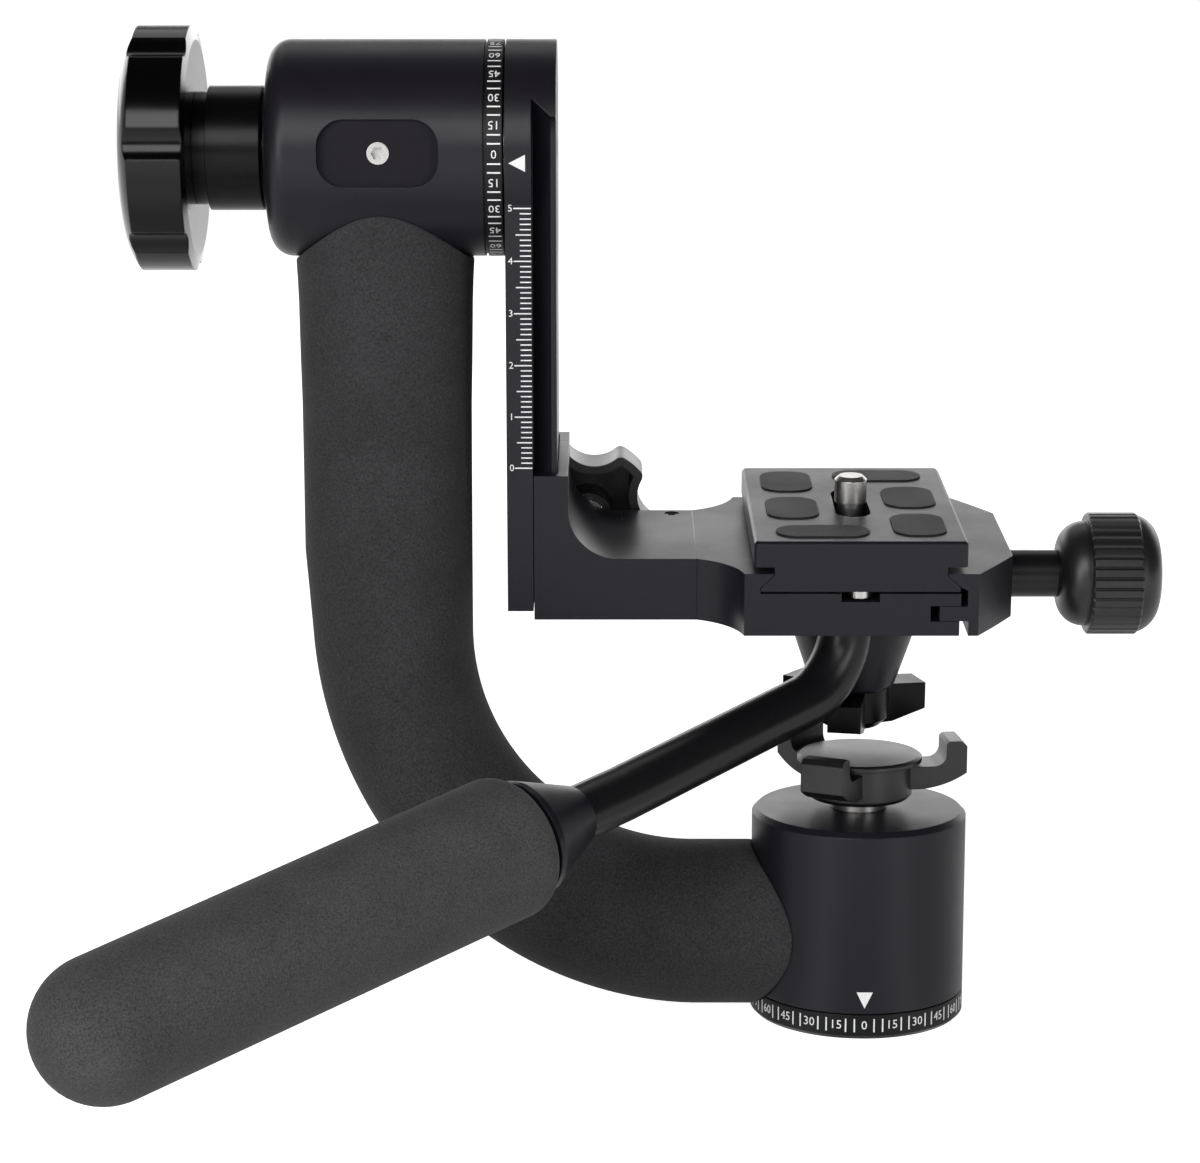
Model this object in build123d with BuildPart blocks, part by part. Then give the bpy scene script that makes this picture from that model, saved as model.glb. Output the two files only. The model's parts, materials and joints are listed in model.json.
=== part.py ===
"""Gimbal tripod head: a foam covered J arm carries a tilting cradle with a quick release clamp.

The origin is the centre of the underside, +Z is up, +X points along the cradle to the clamp knob
and -Y is the side with the index marks.  The cradle hangs from the tilt axis and leans out of
the upright, so its pieces are drawn upright in a frame of their own, in_cradle(), whose origin is
level with the plate's top; heights on the cradle are from there.  Lengths are in millimetres,
angles in degrees.
"""

import os
from math import cos, pi, radians, sin

from build123d import *

# ------------------------------------------------------------------ clearances
face_gap = 0.3  # between faces that turn past each other
shaft_gap = 0.05  # radial, a shaft or screw in its bore
slide_gap = 0.15  # between sliding flanks
foam_gap = 0.15  # between foam and the metal it ends against

# ------------------------------------------------------------------ pan base
housing_d = 42.6
scale_ring_h = 5.0
pan_housing_h = 36.3
pan_base_chamfer = 0.8
tripod_thread_d = 8.0  # tapping bore of a 3/8 inch, 16 turns to the inch thread
tripod_thread_l = 11.0
tripod_bush_d = 14.0
spindle_flange_d = 28.0
spindle_flange_h = 4.0
spindle_recess = 1.4
base_screw_d = 4.0
base_screw_head_d = 6.8
base_screw_circle_d = 21.0
base_screw_count = 3

# ------------------------------------------------------------------ bearings
bearing_bore_d = 17.0
bearing_d = 30.0
bearing_w = 4.8
bearing_ring_t = 1.8
ball_d = 3.7
ball_gap = 0.1
ball_count = 8
bush_wall = 2.5
bush_l = 12.0
pan_cap_t = 1.6
housing_bore_d = 28.6

# ------------------------------------------------------------------ J arm
arm_x = -93.1
arm_z = 17.9
arm_bend_r = 60.0
arm_tube_d = 22.0
arm_tube_wall = 2.0
arm_foam_d = 32.8
arm_foam_top_d = 34.0
arm_foam_bend_d = 30.1
bend_turns = (0, 22.5, 45, 67.5, 90)
bend_stretch = (0, 0.5, 0.8, 0.9, 0)
arm_seat_wall = 1.8
arm_seat_gap = 0.2
arm_plug_l = 14.0
arm_bolt_d = 6.0
arm_bolt_l = 14.0
arm_bolt_head_d = 10.0
arm_bolt_head_h = 5.0

# ------------------------------------------------------------------ tilt housing
tilt_axis_h = 172.1
cradle_lean = 4.83
plate_level = 101.7  # of the plate's top above the base, measured along the cradle
tilt_housing_d = 41.3
tilt_housing_overhang = 21.6
tilt_housing_l = 41.2
tilt_housing_corner = 4.2
tilt_washer_d = 22.4
tilt_washer_t = 0.7
tilt_scale_l = 3.6
tilt_groove = 0.5
tilt_spindle_d = 12.0
tilt_thread_d = 10.0
pocket_w = 22.7
pocket_h = 12.6
pocket_depth = 1.9
pocket_corner = 5.0
friction_screw_d = 4.2
friction_screw_l = 3.4

# ------------------------------------------------------------------ lock knobs
tilt_knob_r = 23.5
tilt_knob_t = 13.1
tilt_knob_lobes = 7
tilt_knob_first_valley = 175.1
tilt_knob_scallop_r = 5.0
tilt_knob_valley_r = 22.3
tilt_knob_flat_r = 16.0
tilt_knob_dome = 2.5
tilt_knob_edge_l = 0.6
tilt_knob_edge_r = 3.0
tilt_collar_d = 23.8
tilt_collar_l = 13.2
tilt_collar_neck_d = 21.6
tilt_collar_neck_l = 2.6
tilt_nut_d = 15.0

pan_knob_gap = 2.3
pan_knob_h = 8.7
pan_knob_hub_d = 21.0
pan_knob_disc_d = 24.8
pan_knob_disc_t = 1.2
pan_knob_reach = 20.9
pan_knob_tab_t = 4.1
pan_knob_tab_rise = 2.9
pan_knob_arm_drop = 0.9
pan_knob_arm_rise = 2.0
pan_knob_arm_w = 8.6
pan_knob_arm_angles = (5.0, 125.0, 245.0)
pan_stud_d = 8.0
pan_nut_d = 11.2

height_knob_r = 14.2
height_knob_valley_r = 10.5
height_knob_scallop_r = 7.0
height_knob_lobes = 5
height_knob_first_valley = 86.0
height_knob_t = 11.5
height_knob_wall = 1.8
height_knob_face = 3.0
height_knob_boss_d = 9.6
height_knob_gap = 1.6
height_screw_d = 6.0
height_collar_d = 7.2
height_screw_end = -2.0
height_knob_out = 3.8
height_knob_z = -8.0

# ------------------------------------------------------------------ swing arm
swing_t = 9.6
rail_w = 38.0
rail_strip_t = 5.0
rail_bottom = -16.8
groove_top = 12.5  # above the tilt axis
dovetail_neck_w = 25.8
dovetail_w = 33.0
dovetail_lip = 1.0
cutter_r = 7.8
shaft_seat_depth = 4.9
shaft_screw_d = 6.0
shaft_screw_head_d = 12.0
shaft_screw_l = 14.0
stop_screw_z = -5.8
stop_screw_d = 4.0
stop_screw_head_d = 6.4
stop_screw_head_h = 0.5
stop_screw_proud = 0.9

# ------------------------------------------------------------------ bracket
bracket_leg_t = 6.55
bracket_top = 10.1
bracket_bottom = -18.5
shelf_z = -6.3
bracket_fillet = 9.0
jaw_split_y = 11.4
jaw_reach = 10.8
joint_screw_d = 4.0
joint_screw_head_d = 7.0
joint_screw_head_h = 3.2
joint_screw_y = 7.5
joint_screw_z = -13.8
joint_screw_reach = 10.0
shelf_screw_x = -37.1
shelf_screw_y = 16.4
shelf_screw_d = 3.0
shelf_screw_l = 6.0

# ------------------------------------------------------------------ clamp
seam_x = -32.9
clamp_l = 60.0
clamp_left_x = -24.2
clamp_right_x = 16.8
clamp_floor_z = -10.2
clamp_flare_mid = (-27.7, 22.8)
tongue_left_x = 11.25
tongue_top_z = -12.6
tongue_bottom_z = -15.7
tongue_play = 1.75
jaw_face_x = 18.3
jaw_front_x = 20.4
jaw_x = 28.3
jaw_flat_w = 33.0
jaw_flare_mid = (24.3, 23.6)
notch_w = 7.3
notch_l = 6.5
notch_depth = 1.6
clamp_screw_z = -14.4
clamp_screw_d = 8.0
clamp_screw_in_x = 5.5
clamp_collar_d = 9.4
clamp_collar_l = 10.9
clamp_knob_back_l = 5.7
clamp_knob_band_l = 10.0
clamp_knob_front_l = 4.3
clamp_knob_d = 24.2
clamp_knob_back_d = 20.8
clamp_knob_face_d = 12.2
clamp_knob_flutes = 36
clamp_knob_flute_d = 1.3

# ------------------------------------------------------------------ quick release plate
plate_x = -2.1
plate_top = 0.0
plate_l = 60.0
plate_w = 40.6
plate_flange_t = 5.0
plate_neck_t = 1.7
plate_dovetail_w = 37.9
plate_neck_w = 32.8
plate_t = 9.8
plate_edge_t = 0.8
plate_corner = 1.2
plate_edge = 0.5
pad_w = 10.2
pad_l = 16.5
pad_recess = 0.6
pad_proud = 0.25
pad_small_corner = 4.2
camera_slot_w = 6.8
camera_slot_l = 22.0
camera_recess_w = 13.0
camera_screw_d = 6.35
camera_screw_proud = 5.7
camera_screw_end = 0.8
camera_neck_d = 5.2
camera_neck_top = 0.4
camera_head_d = 12.0
camera_head_h = 3.4
plate_stop_d = 4.4
plate_stop_h = 1.5
plate_stop_inset = 2.7

# ------------------------------------------------------------------ handle
hub_x = -1.0
hub_top_d = 28.0
hub_bottom_d = 17.2
hub_rim = 1.5
hub_h = 18.2
stud_d = 8.0
stud_in = 6.6
stud_l = 30.5
handle_x = -3.4
handle_y = -13.0
handle_z = -35.2
handle_azimuth = 44.2
handle_droop = 5.55
rod_d = 10.4
rod_elbow_r = 14.5
rod_elbow_z = -32.9
rod_second_bend = 62.0
rod_top_z = -19.2
ferrule_start = 73.8
ferrule_l = 13.7
ferrule_small_d = 11.3
ferrule_d = 21.5
ferrule_edge = 0.2
grip_d = 25.0
grip_root_d = 26.2
grip_end = 179.6
grip_shoulder_r = 5.0
rod_in_grip = 80.0

handle_knob_h = 7.9
handle_knob_hub_d = 15.0
handle_knob_reach = 14.8
handle_knob_arm_w = 6.6
handle_knob_tip_h = 5.4
handle_knob_tip_drop = 0.5
handle_knob_arm_angles = (20.0, 140.0, 260.0)
handle_nut_d = 11.0

# ------------------------------------------------------------------ worked out places
pan_top = scale_ring_h + face_gap + pan_housing_h
cradle_drop = tilt_axis_h - plate_level
arm_seat_depth = housing_bore_d / 2 + arm_seat_gap
spindle_flange_z = scale_ring_h - spindle_recess
pan_bearing_z = spindle_flange_z + spindle_flange_h
tilt_left_x = arm_x - tilt_housing_overhang
tilt_right_x = tilt_left_x + tilt_housing_l
swing_x = tilt_right_x + tilt_scale_l + face_gap + 0.1
swing_right_x = swing_x + swing_t
rail_neck_x = swing_x + rail_strip_t
rail_lip_x = swing_right_x - dovetail_lip
bracket_x = rail_neck_x + slide_gap
leg_x = bracket_x + bracket_leg_t
jaw_end_x = leg_x + jaw_reach
height_knob_x = leg_x + height_knob_out
jaw_hook_x = plate_x + plate_neck_w / 2 + slide_gap
plate_bottom = plate_top - plate_t
hub_top_z = bracket_bottom - face_gap
handle_knob_top_z = hub_top_z - hub_h - face_gap
pan_knob_z = pan_top + pan_knob_gap
pan_knob_top = pan_knob_z + pan_knob_h
tilt_washer_x = tilt_left_x - tilt_washer_t
tilt_collar_x = tilt_washer_x - face_gap - tilt_collar_l
tilt_knob_x = tilt_collar_x - tilt_knob_t

# ------------------------------------------------------------------ frames
lean_sin = sin(radians(cradle_lean))
lean_cos = cos(radians(cradle_lean))
cradle = Plane(
    origin=(0, cradle_drop * lean_sin, tilt_axis_h - cradle_drop * lean_cos),
    x_dir=(1, 0, 0),
    z_dir=(0, -lean_sin, lean_cos),
)


def in_cradle(plane):
    """The plane carried from the upright drawing into the leaning cradle."""
    return Plane(cradle.location * plane.location)


def along_x(x=0.0, y=0.0, z=0.0):
    """A plane whose own x runs along +X and own y along +Z, to turn outlines of (x, radius)."""
    return Plane(origin=(x, y, z), x_dir=(1, 0, 0), z_dir=(0, -1, 0))


def along_z(x=0.0, y=0.0, z=0.0):
    """A plane whose own x runs along +Z, to turn outlines of (height, radius)."""
    return Plane(origin=(x, y, z), x_dir=(0, 0, 1), z_dir=(0, -1, 0))


def along_y(x=0.0, y=0.0, z=0.0):
    """A plane whose own x runs along +Y, to turn outlines of (depth, radius)."""
    return Plane(origin=(x, y, z), x_dir=(0, 1, 0), z_dir=(1, 0, 0))


handle_heading = 180 + handle_azimuth
handle_line = Plane(
    origin=(handle_x, handle_y, handle_z),
    x_dir=(
        cos(radians(handle_heading)) * cos(radians(handle_droop)),
        sin(radians(handle_heading)) * cos(radians(handle_droop)),
        -sin(radians(handle_droop)),
    ),
    z_dir=(sin(radians(handle_heading)), -cos(radians(handle_heading)), 0),
)

tilt_line = along_x(z=tilt_axis_h)


def ring_of(centre, radius, count, first=0.0):
    """Points evenly spaced round a centre, the first at the given angle."""
    steps = [radians(first + 360 / count * n) for n in range(count)]
    return [(centre[0] + radius * cos(a), centre[1] + radius * sin(a)) for a in steps]


def turned(plane, outline, mode=Mode.ADD):
    """Turn a closed outline of (distance, radius) points about the plane's own x axis."""
    with BuildSketch(plane) as profile:
        with BuildLine():
            Polyline(*outline, close=True)
        make_face()
    revolve(profile.sketch, axis=Axis(plane.origin, plane.x_dir), mode=mode)


def rod(plane, start, end, diameter, mode=Mode.ADD):
    """A round bar or hole on the plane's own x axis."""
    r = diameter / 2
    turned(plane, [(start, 0), (start, r), (end, r), (end, 0)], mode)


def tube(plane, start, end, inner_d, outer_d):
    """A plain ring on the plane's own x axis."""
    turned(plane, [(start, inner_d / 2), (start, outer_d / 2), (end, outer_d / 2), (end, inner_d / 2)])


def prism(plane, outline, length, mode=Mode.ADD):
    """Extrude a closed outline from the plane."""
    with BuildSketch(plane) as profile:
        with BuildLine():
            Polyline(*outline, close=True)
        make_face()
    extrude(profile.sketch, amount=length, mode=mode)


os.makedirs("parts", exist_ok=True)
written = []


def finish(builder, name):
    """Label the finished piece and write it."""
    builder.part.label = name
    export_step(builder.part, "parts/" + name + ".step")
    written.append(name)


# ------------------------------------------------------------------ pan base
pan_line = along_z()

with BuildPart() as pan_base:
    turned(
        pan_line,
        [
            (0, tripod_bush_d / 2),
            (0, housing_d / 2 - pan_base_chamfer),
            (pan_base_chamfer, housing_d / 2),
            (scale_ring_h, housing_d / 2),
            (scale_ring_h, spindle_flange_d / 2),
            (spindle_flange_z, spindle_flange_d / 2),
            (spindle_flange_z, tripod_bush_d / 2),
        ],
    )
    for spot in PolarLocations(base_screw_circle_d / 2, base_screw_count):
        head_h = (base_screw_head_d - base_screw_d) / 2
        x, y = spot.position.X, spot.position.Y
        screw_outline = [
            (0, 0),
            (0, base_screw_head_d / 2),
            (head_h, base_screw_d / 2),
            (spindle_flange_z, base_screw_d / 2),
            (spindle_flange_z, 0),
        ]
        turned(along_z(x, y), screw_outline, Mode.SUBTRACT)
finish(pan_base, "pan_base")

with BuildPart() as tripod_bush:
    tube(pan_line, 0, tripod_thread_l, tripod_thread_d, tripod_bush_d)
finish(tripod_bush, "tripod_bush")

with BuildPart() as base_screws:
    screw_l = pan_bearing_z - 0.6
    for spot in PolarLocations(base_screw_circle_d / 2, base_screw_count):
        head_h = (base_screw_head_d - base_screw_d) / 2
        x, y = spot.position.X, spot.position.Y
        screw_outline = [
            (0, 0),
            (0, base_screw_head_d / 2),
            (head_h, base_screw_d / 2),
            (screw_l, base_screw_d / 2),
            (screw_l, 0),
        ]
        turned(along_z(x, y), screw_outline)
        with BuildSketch(Plane.XY) as key:
            with Locations((x, y)):
                RegularPolygon(base_screw_d / 2 * 0.7, 6)
        extrude(key.sketch, amount=head_h, mode=Mode.SUBTRACT)
finish(base_screws, "base_screws")

spindle_neck_d = bearing_bore_d - 1.0
spindle_neck_top = pan_top - pan_cap_t - face_gap
stud_top_z = pan_knob_top - 2.0

with BuildPart() as pan_spindle:
    turned(
        pan_line,
        [
            (spindle_flange_z, tripod_bush_d / 2),
            (spindle_flange_z, spindle_flange_d / 2),
            (pan_bearing_z, spindle_flange_d / 2),
            (pan_bearing_z, bearing_bore_d / 2),
            (pan_bearing_z + bearing_w + 1, bearing_bore_d / 2),
            (pan_bearing_z + bearing_w + 1.5, spindle_neck_d / 2),
            (spindle_neck_top, spindle_neck_d / 2),
            (spindle_neck_top, pan_stud_d / 2),
            (stud_top_z - 0.5, pan_stud_d / 2),
            (stud_top_z, pan_stud_d / 2 - 0.5),
            (stud_top_z, 0),
            (tripod_thread_l, 0),
            (tripod_thread_l, tripod_bush_d / 2),
        ],
    )
    for spot in PolarLocations(base_screw_circle_d / 2, base_screw_count):
        line = along_z(spot.position.X, spot.position.Y)
        rod(line, spindle_flange_z, screw_l, base_screw_d, Mode.SUBTRACT)
finish(pan_spindle, "pan_spindle")


# ------------------------------------------------------------------ ball bearings
ball_circle_r = (bearing_bore_d / 2 + bearing_d / 2) / 2


def bearing_ring(plane, start, inner_d, outer_d):
    """One ring of a bearing, with the race that its balls run in."""
    tube(plane, start, start + bearing_w, inner_d, outer_d)
    with BuildSketch(plane) as race:
        with Locations((start + bearing_w / 2, ball_circle_r)):
            Circle(ball_d / 2 + ball_gap)
    revolve(race.sketch, axis=Axis(plane.origin, plane.x_dir), mode=Mode.SUBTRACT)


def bearing_balls(plane, start):
    """The ring of balls of one bearing."""
    for index in range(ball_count):
        angle = 2 * pi * index / ball_count
        centre = plane.from_local_coords(Vector(start + bearing_w / 2, 0, 0))
        offset = plane.y_dir * (ball_circle_r * cos(angle)) + plane.z_dir * (ball_circle_r * sin(angle))
        with Locations(centre + offset):
            Sphere(ball_d / 2)


inner_ring_d = bearing_bore_d + 2 * bearing_ring_t
outer_ring_bore_d = bearing_d - 2 * bearing_ring_t

with BuildPart() as pan_bearing_inner:
    bearing_ring(pan_line, pan_bearing_z, bearing_bore_d, inner_ring_d)
finish(pan_bearing_inner, "pan_bearing_inner")

with BuildPart() as pan_bearing_outer:
    bearing_ring(pan_line, pan_bearing_z + face_gap, outer_ring_bore_d, bearing_d)
finish(pan_bearing_outer, "pan_bearing_outer")

with BuildPart() as pan_bearing_balls:
    bearing_balls(pan_line, pan_bearing_z + face_gap / 2)
finish(pan_bearing_balls, "pan_bearing_balls")

# ------------------------------------------------------------------ pan housing
pan_shoulder_z = pan_bearing_z + face_gap + bearing_w
pan_bush_z = pan_top - bush_l
bush_bore_d = spindle_neck_d + 2 * shaft_gap
pan_bush_d = bush_bore_d + 2 * bush_wall
arm_seat_x = -arm_seat_depth
arm_socket_x = arm_seat_x - arm_seat_wall
housing_edge = 1.0

arm_low = along_x(z=arm_z)

with BuildPart() as pan_housing:
    turned(
        pan_line,
        [
            (scale_ring_h + face_gap, bearing_d / 2),
            (scale_ring_h + face_gap, housing_d / 2),
            (pan_top - housing_edge, housing_d / 2),
            (pan_top, housing_d / 2 - housing_edge),
            (pan_top, pan_stud_d / 2 + face_gap),
            (pan_top - pan_cap_t, pan_stud_d / 2 + face_gap),
            (pan_top - pan_cap_t, pan_bush_d / 2),
            (pan_bush_z, pan_bush_d / 2),
            (pan_bush_z, housing_bore_d / 2),
            (pan_shoulder_z, housing_bore_d / 2),
            (pan_shoulder_z, bearing_d / 2),
        ],
    )
    rod(arm_low, -housing_d, arm_socket_x, arm_tube_d, Mode.SUBTRACT)
    rod(arm_low, arm_socket_x - 1, arm_seat_x, arm_bolt_d, Mode.SUBTRACT)
    rod(arm_low, arm_seat_x, -spindle_neck_d / 2, arm_bolt_head_d + 0.4, Mode.SUBTRACT)
finish(pan_housing, "pan_housing")

with BuildPart() as pan_bush:
    tube(pan_line, pan_bush_z, pan_top - pan_cap_t, bush_bore_d, pan_bush_d)
finish(pan_bush, "pan_bush")

# ------------------------------------------------------------------ J arm
arm_seat_z = tilt_axis_h - arm_seat_depth
tilt_socket_z = arm_seat_z - arm_seat_wall
bend_x = arm_x + arm_bend_r
bend_z = arm_z + arm_bend_r


def bend_point(turn):
    """A point of the arm's centreline, so many degrees round the bend."""
    a = radians(turn)
    return Vector(bend_x - arm_bend_r * sin(a), 0, bend_z - arm_bend_r * cos(a))


def arm_route(low_x, high_z):
    """The centreline of the J: out from the pan housing, round the bend and up."""
    with BuildLine() as route:
        run = Line((low_x, 0, arm_z), (bend_x, 0, arm_z))
        bend = ThreePointArc(run @ 1, bend_point(45), bend_point(90))
        Line(bend @ 1, (arm_x, 0, high_z))
    return route.line


with BuildPart() as arm_tube:
    tube_route = arm_route(arm_socket_x, tilt_socket_z)
    with BuildSketch(Plane(origin=(arm_socket_x, 0, arm_z), z_dir=(-1, 0, 0))) as tube_section:
        Circle(arm_tube_d / 2)
        Circle(arm_tube_d / 2 - arm_tube_wall, mode=Mode.SUBTRACT)
    sweep(tube_section.sketch, path=tube_route)
finish(arm_tube, "arm_tube")


def arm_plug(line, end, seat):
    """The solid plug that takes the bolt in one end of the arm tube."""
    rod(line, end, end - arm_plug_l, arm_tube_d - 2 * arm_tube_wall)
    rod(line, end, seat - arm_bolt_l - 0.5, arm_bolt_d, Mode.SUBTRACT)


arm_high = along_z(x=arm_x)

with BuildPart() as arm_plug_lower:
    arm_plug(arm_low, arm_socket_x, arm_seat_x)
finish(arm_plug_lower, "arm_plug_lower")

with BuildPart() as arm_plug_upper:
    arm_plug(arm_high, tilt_socket_z, arm_seat_z)
finish(arm_plug_upper, "arm_plug_upper")


def arm_bolt(line, seat):
    """A socket head bolt from inside the housing into the arm's plug."""
    rod(line, seat, seat + arm_bolt_head_h, arm_bolt_head_d)
    rod(line, seat, seat - arm_bolt_l, arm_bolt_d)
    rod(line, seat + arm_bolt_head_h, seat + 2, arm_bolt_d * 0.8, Mode.SUBTRACT)


with BuildPart() as arm_bolt_lower:
    arm_bolt(arm_low, arm_seat_x)
finish(arm_bolt_lower, "arm_bolt_lower")

with BuildPart() as arm_bolt_upper:
    arm_bolt(arm_high, arm_seat_z)
finish(arm_bolt_upper, "arm_bolt_upper")


def foam_slice(turn, stretch):
    """A round slice of the sleeve on the bend, thinner on the outside where it is stretched."""
    a = radians(turn)
    thinning = (arm_foam_d - arm_foam_bend_d) * stretch
    centre = bend_point(turn) + Vector(sin(a), 0, cos(a)) * (thinning / 2)
    with BuildSketch(Plane(origin=centre, x_dir=(0, 1, 0), z_dir=(-cos(a), 0, sin(a)))) as cut:
        Circle((arm_foam_d - thinning) / 2)
    return cut.sketch


with BuildPart() as arm_foam:
    foam_low_x = -housing_d / 2 * 0.55
    foam_high_z = tilt_axis_h - tilt_housing_d / 2 * 0.55
    rod(arm_low, bend_x, foam_low_x, arm_foam_d)
    leg = [(bend_z, 0), (bend_z, arm_foam_d / 2), (foam_high_z, arm_foam_top_d / 2), (foam_high_z, 0)]
    turned(arm_high, leg)
    with BuildLine() as bend_route:
        ThreePointArc(bend_point(0), bend_point(45), bend_point(90))
    slices = [foam_slice(turn, stretch) for turn, stretch in zip(bend_turns, bend_stretch)]
    sweep(sections=slices, path=bend_route.line, multisection=True)
    with BuildSketch(Plane(origin=(foam_low_x, 0, arm_z), z_dir=(-1, 0, 0))) as core_section:
        Circle(arm_tube_d / 2 + shaft_gap)
    sweep(core_section.sketch, path=arm_route(foam_low_x, foam_high_z), mode=Mode.SUBTRACT)
    rod(pan_line, -1, pan_top, housing_d + 2 * foam_gap, Mode.SUBTRACT)
    rod(
        tilt_line,
        tilt_left_x - 1,
        tilt_right_x + 1,
        tilt_housing_d + 2 * foam_gap,
        Mode.SUBTRACT,
    )
finish(arm_foam, "arm_foam")

# ------------------------------------------------------------------ tilt housing
tilt_bearing_x = tilt_right_x - bearing_w
tilt_bush_d = tilt_spindle_d + 2 * shaft_gap + 2 * bush_wall
pocket_y = -tilt_housing_d / 2 + pocket_depth
slug_d = friction_screw_d - 0.4

with BuildPart() as tilt_housing:
    turned(
        tilt_line,
        [
            (tilt_left_x, tilt_bush_d / 2),
            (tilt_left_x, tilt_housing_d / 2),
            (tilt_right_x, tilt_housing_d / 2),
            (tilt_right_x, bearing_d / 2),
            (tilt_bearing_x, bearing_d / 2),
            (tilt_bearing_x, housing_bore_d / 2),
            (tilt_left_x + bush_l, housing_bore_d / 2),
            (tilt_left_x + bush_l, tilt_bush_d / 2),
        ],
    )
    outer_rim = edges().filter_by(GeomType.CIRCLE).group_by(Axis.X)[0].sort_by(SortBy.RADIUS)[-1]
    fillet(outer_rim, tilt_housing_corner)
    rod(arm_high, tilt_axis_h - tilt_housing_d, tilt_socket_z, arm_tube_d, Mode.SUBTRACT)
    rod(arm_high, tilt_socket_z - 1, arm_seat_z, arm_bolt_d, Mode.SUBTRACT)
    rod(arm_high, arm_seat_z, tilt_axis_h - tilt_spindle_d / 2, arm_bolt_head_d + 0.4, Mode.SUBTRACT)
    with BuildSketch(Plane.XZ.offset(-pocket_y)) as pocket:
        with Locations((arm_x, tilt_axis_h)):
            RectangleRounded(pocket_w, pocket_h, pocket_corner)
    extrude(pocket.sketch, amount=pocket_depth + 1, mode=Mode.SUBTRACT)
    rod(
        along_y(arm_x, 0, tilt_axis_h),
        pocket_y - 1,
        -tilt_spindle_d / 2,
        friction_screw_d,
        Mode.SUBTRACT,
    )
finish(tilt_housing, "tilt_housing")

friction_line = along_y(arm_x, 0, tilt_axis_h)
friction_tip_y = pocket_y + friction_screw_l

with BuildPart() as friction_screw:
    rod(friction_line, pocket_y - 0.3, friction_tip_y, friction_screw_d)
    with BuildSketch(Plane.XZ.offset(0.3 - pocket_y)) as hex_socket:
        with Locations((arm_x, tilt_axis_h)):
            RegularPolygon(friction_screw_d * 0.3, 6)
    extrude(hex_socket.sketch, amount=-1.8, mode=Mode.SUBTRACT)
finish(friction_screw, "friction_screw")

with BuildPart() as friction_slug:
    rod(friction_line, friction_tip_y, -tilt_spindle_d / 2 - shaft_gap, slug_d)
    rod(tilt_line, arm_x - slug_d, arm_x + slug_d, tilt_spindle_d + 2 * shaft_gap, Mode.SUBTRACT)
finish(friction_slug, "friction_slug")

with BuildPart() as tilt_scale_ring:
    turned(
        tilt_line,
        [
            (tilt_right_x, bearing_bore_d / 2 + 3),
            (tilt_right_x, tilt_housing_d / 2 - tilt_groove),
            (tilt_right_x + tilt_groove, tilt_housing_d / 2 - tilt_groove),
            (tilt_right_x + tilt_groove, tilt_housing_d / 2),
            (tilt_right_x + tilt_scale_l, tilt_housing_d / 2),
            (tilt_right_x + tilt_scale_l, bearing_bore_d / 2 + 3),
        ],
    )
finish(tilt_scale_ring, "tilt_scale_ring")

with BuildPart() as tilt_bush:
    tube(
        tilt_line,
        tilt_left_x + 0.1,
        tilt_left_x + bush_l,
        tilt_spindle_d + 2 * shaft_gap,
        tilt_bush_d,
    )
finish(tilt_bush, "tilt_bush")

with BuildPart() as tilt_washer:
    tube(tilt_line, tilt_washer_x, tilt_left_x, tilt_thread_d + 2 * shaft_gap, tilt_washer_d)
finish(tilt_washer, "tilt_washer")

with BuildPart() as tilt_bearing_outer:
    bearing_ring(tilt_line, tilt_bearing_x, outer_ring_bore_d, bearing_d)
finish(tilt_bearing_outer, "tilt_bearing_outer")

with BuildPart() as tilt_bearing_balls:
    bearing_balls(tilt_line, tilt_bearing_x)
finish(tilt_bearing_balls, "tilt_bearing_balls")

# ------------------------------------------------------------------ pan lock knob
with BuildPart() as pan_lock_knob:
    hub_under = 0.8
    turned(
        pan_line,
        [
            (pan_knob_z, 0),
            (pan_knob_z, pan_knob_hub_d / 2 - hub_under),
            (pan_knob_z + hub_under, pan_knob_hub_d / 2),
            (pan_knob_top - pan_knob_disc_t, pan_knob_hub_d / 2),
            (pan_knob_top - pan_knob_disc_t, pan_knob_disc_d / 2),
            (pan_knob_top - 0.4, pan_knob_disc_d / 2),
            (pan_knob_top, pan_knob_disc_d / 2 - 0.6),
            (pan_knob_top, 0),
        ],
    )
    tab_top = pan_knob_top + pan_knob_tab_rise
    tab_inner = pan_knob_reach - pan_knob_tab_t
    arm_top = pan_knob_top - pan_knob_disc_t - pan_knob_arm_drop
    arm_under_z = pan_knob_z + pan_knob_arm_rise
    for angle in pan_knob_arm_angles:
        side = Plane(
            origin=(0, 0, 0),
            x_dir=(cos(radians(angle)), sin(radians(angle)), 0),
            z_dir=(sin(radians(angle)), -cos(radians(angle)), 0),
        )
        with BuildSketch(side) as arm_profile:
            with BuildLine():
                under = Line((pan_knob_hub_d * 0.3, arm_under_z), (pan_knob_hub_d / 2, arm_under_z))
                sweep_up = TangentArc(under @ 1, (pan_knob_reach, arm_top - 1.4), tangent=under % 1)
                outer = Line(sweep_up @ 1, (pan_knob_reach, tab_top - 1.0))
                crown = Polyline(
                    outer @ 1,
                    (pan_knob_reach - 1.0, tab_top),
                    (tab_inner + 0.6, tab_top),
                    (tab_inner, tab_top - 0.6),
                    (tab_inner, arm_top + 2.4),
                )
                hollow = ThreePointArc(
                    crown @ 1,
                    (tab_inner - 0.7, arm_top + 0.7),
                    (tab_inner - 2.4, arm_top),
                )
                Polyline(hollow @ 1, (pan_knob_hub_d * 0.3, arm_top), under @ 0)
            make_face()
        extrude(arm_profile.sketch, amount=pan_knob_arm_w / 2, both=True)
    rod(pan_line, pan_knob_z, stud_top_z + 0.5, pan_nut_d, Mode.SUBTRACT)
finish(pan_lock_knob, "pan_lock_knob")

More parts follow.
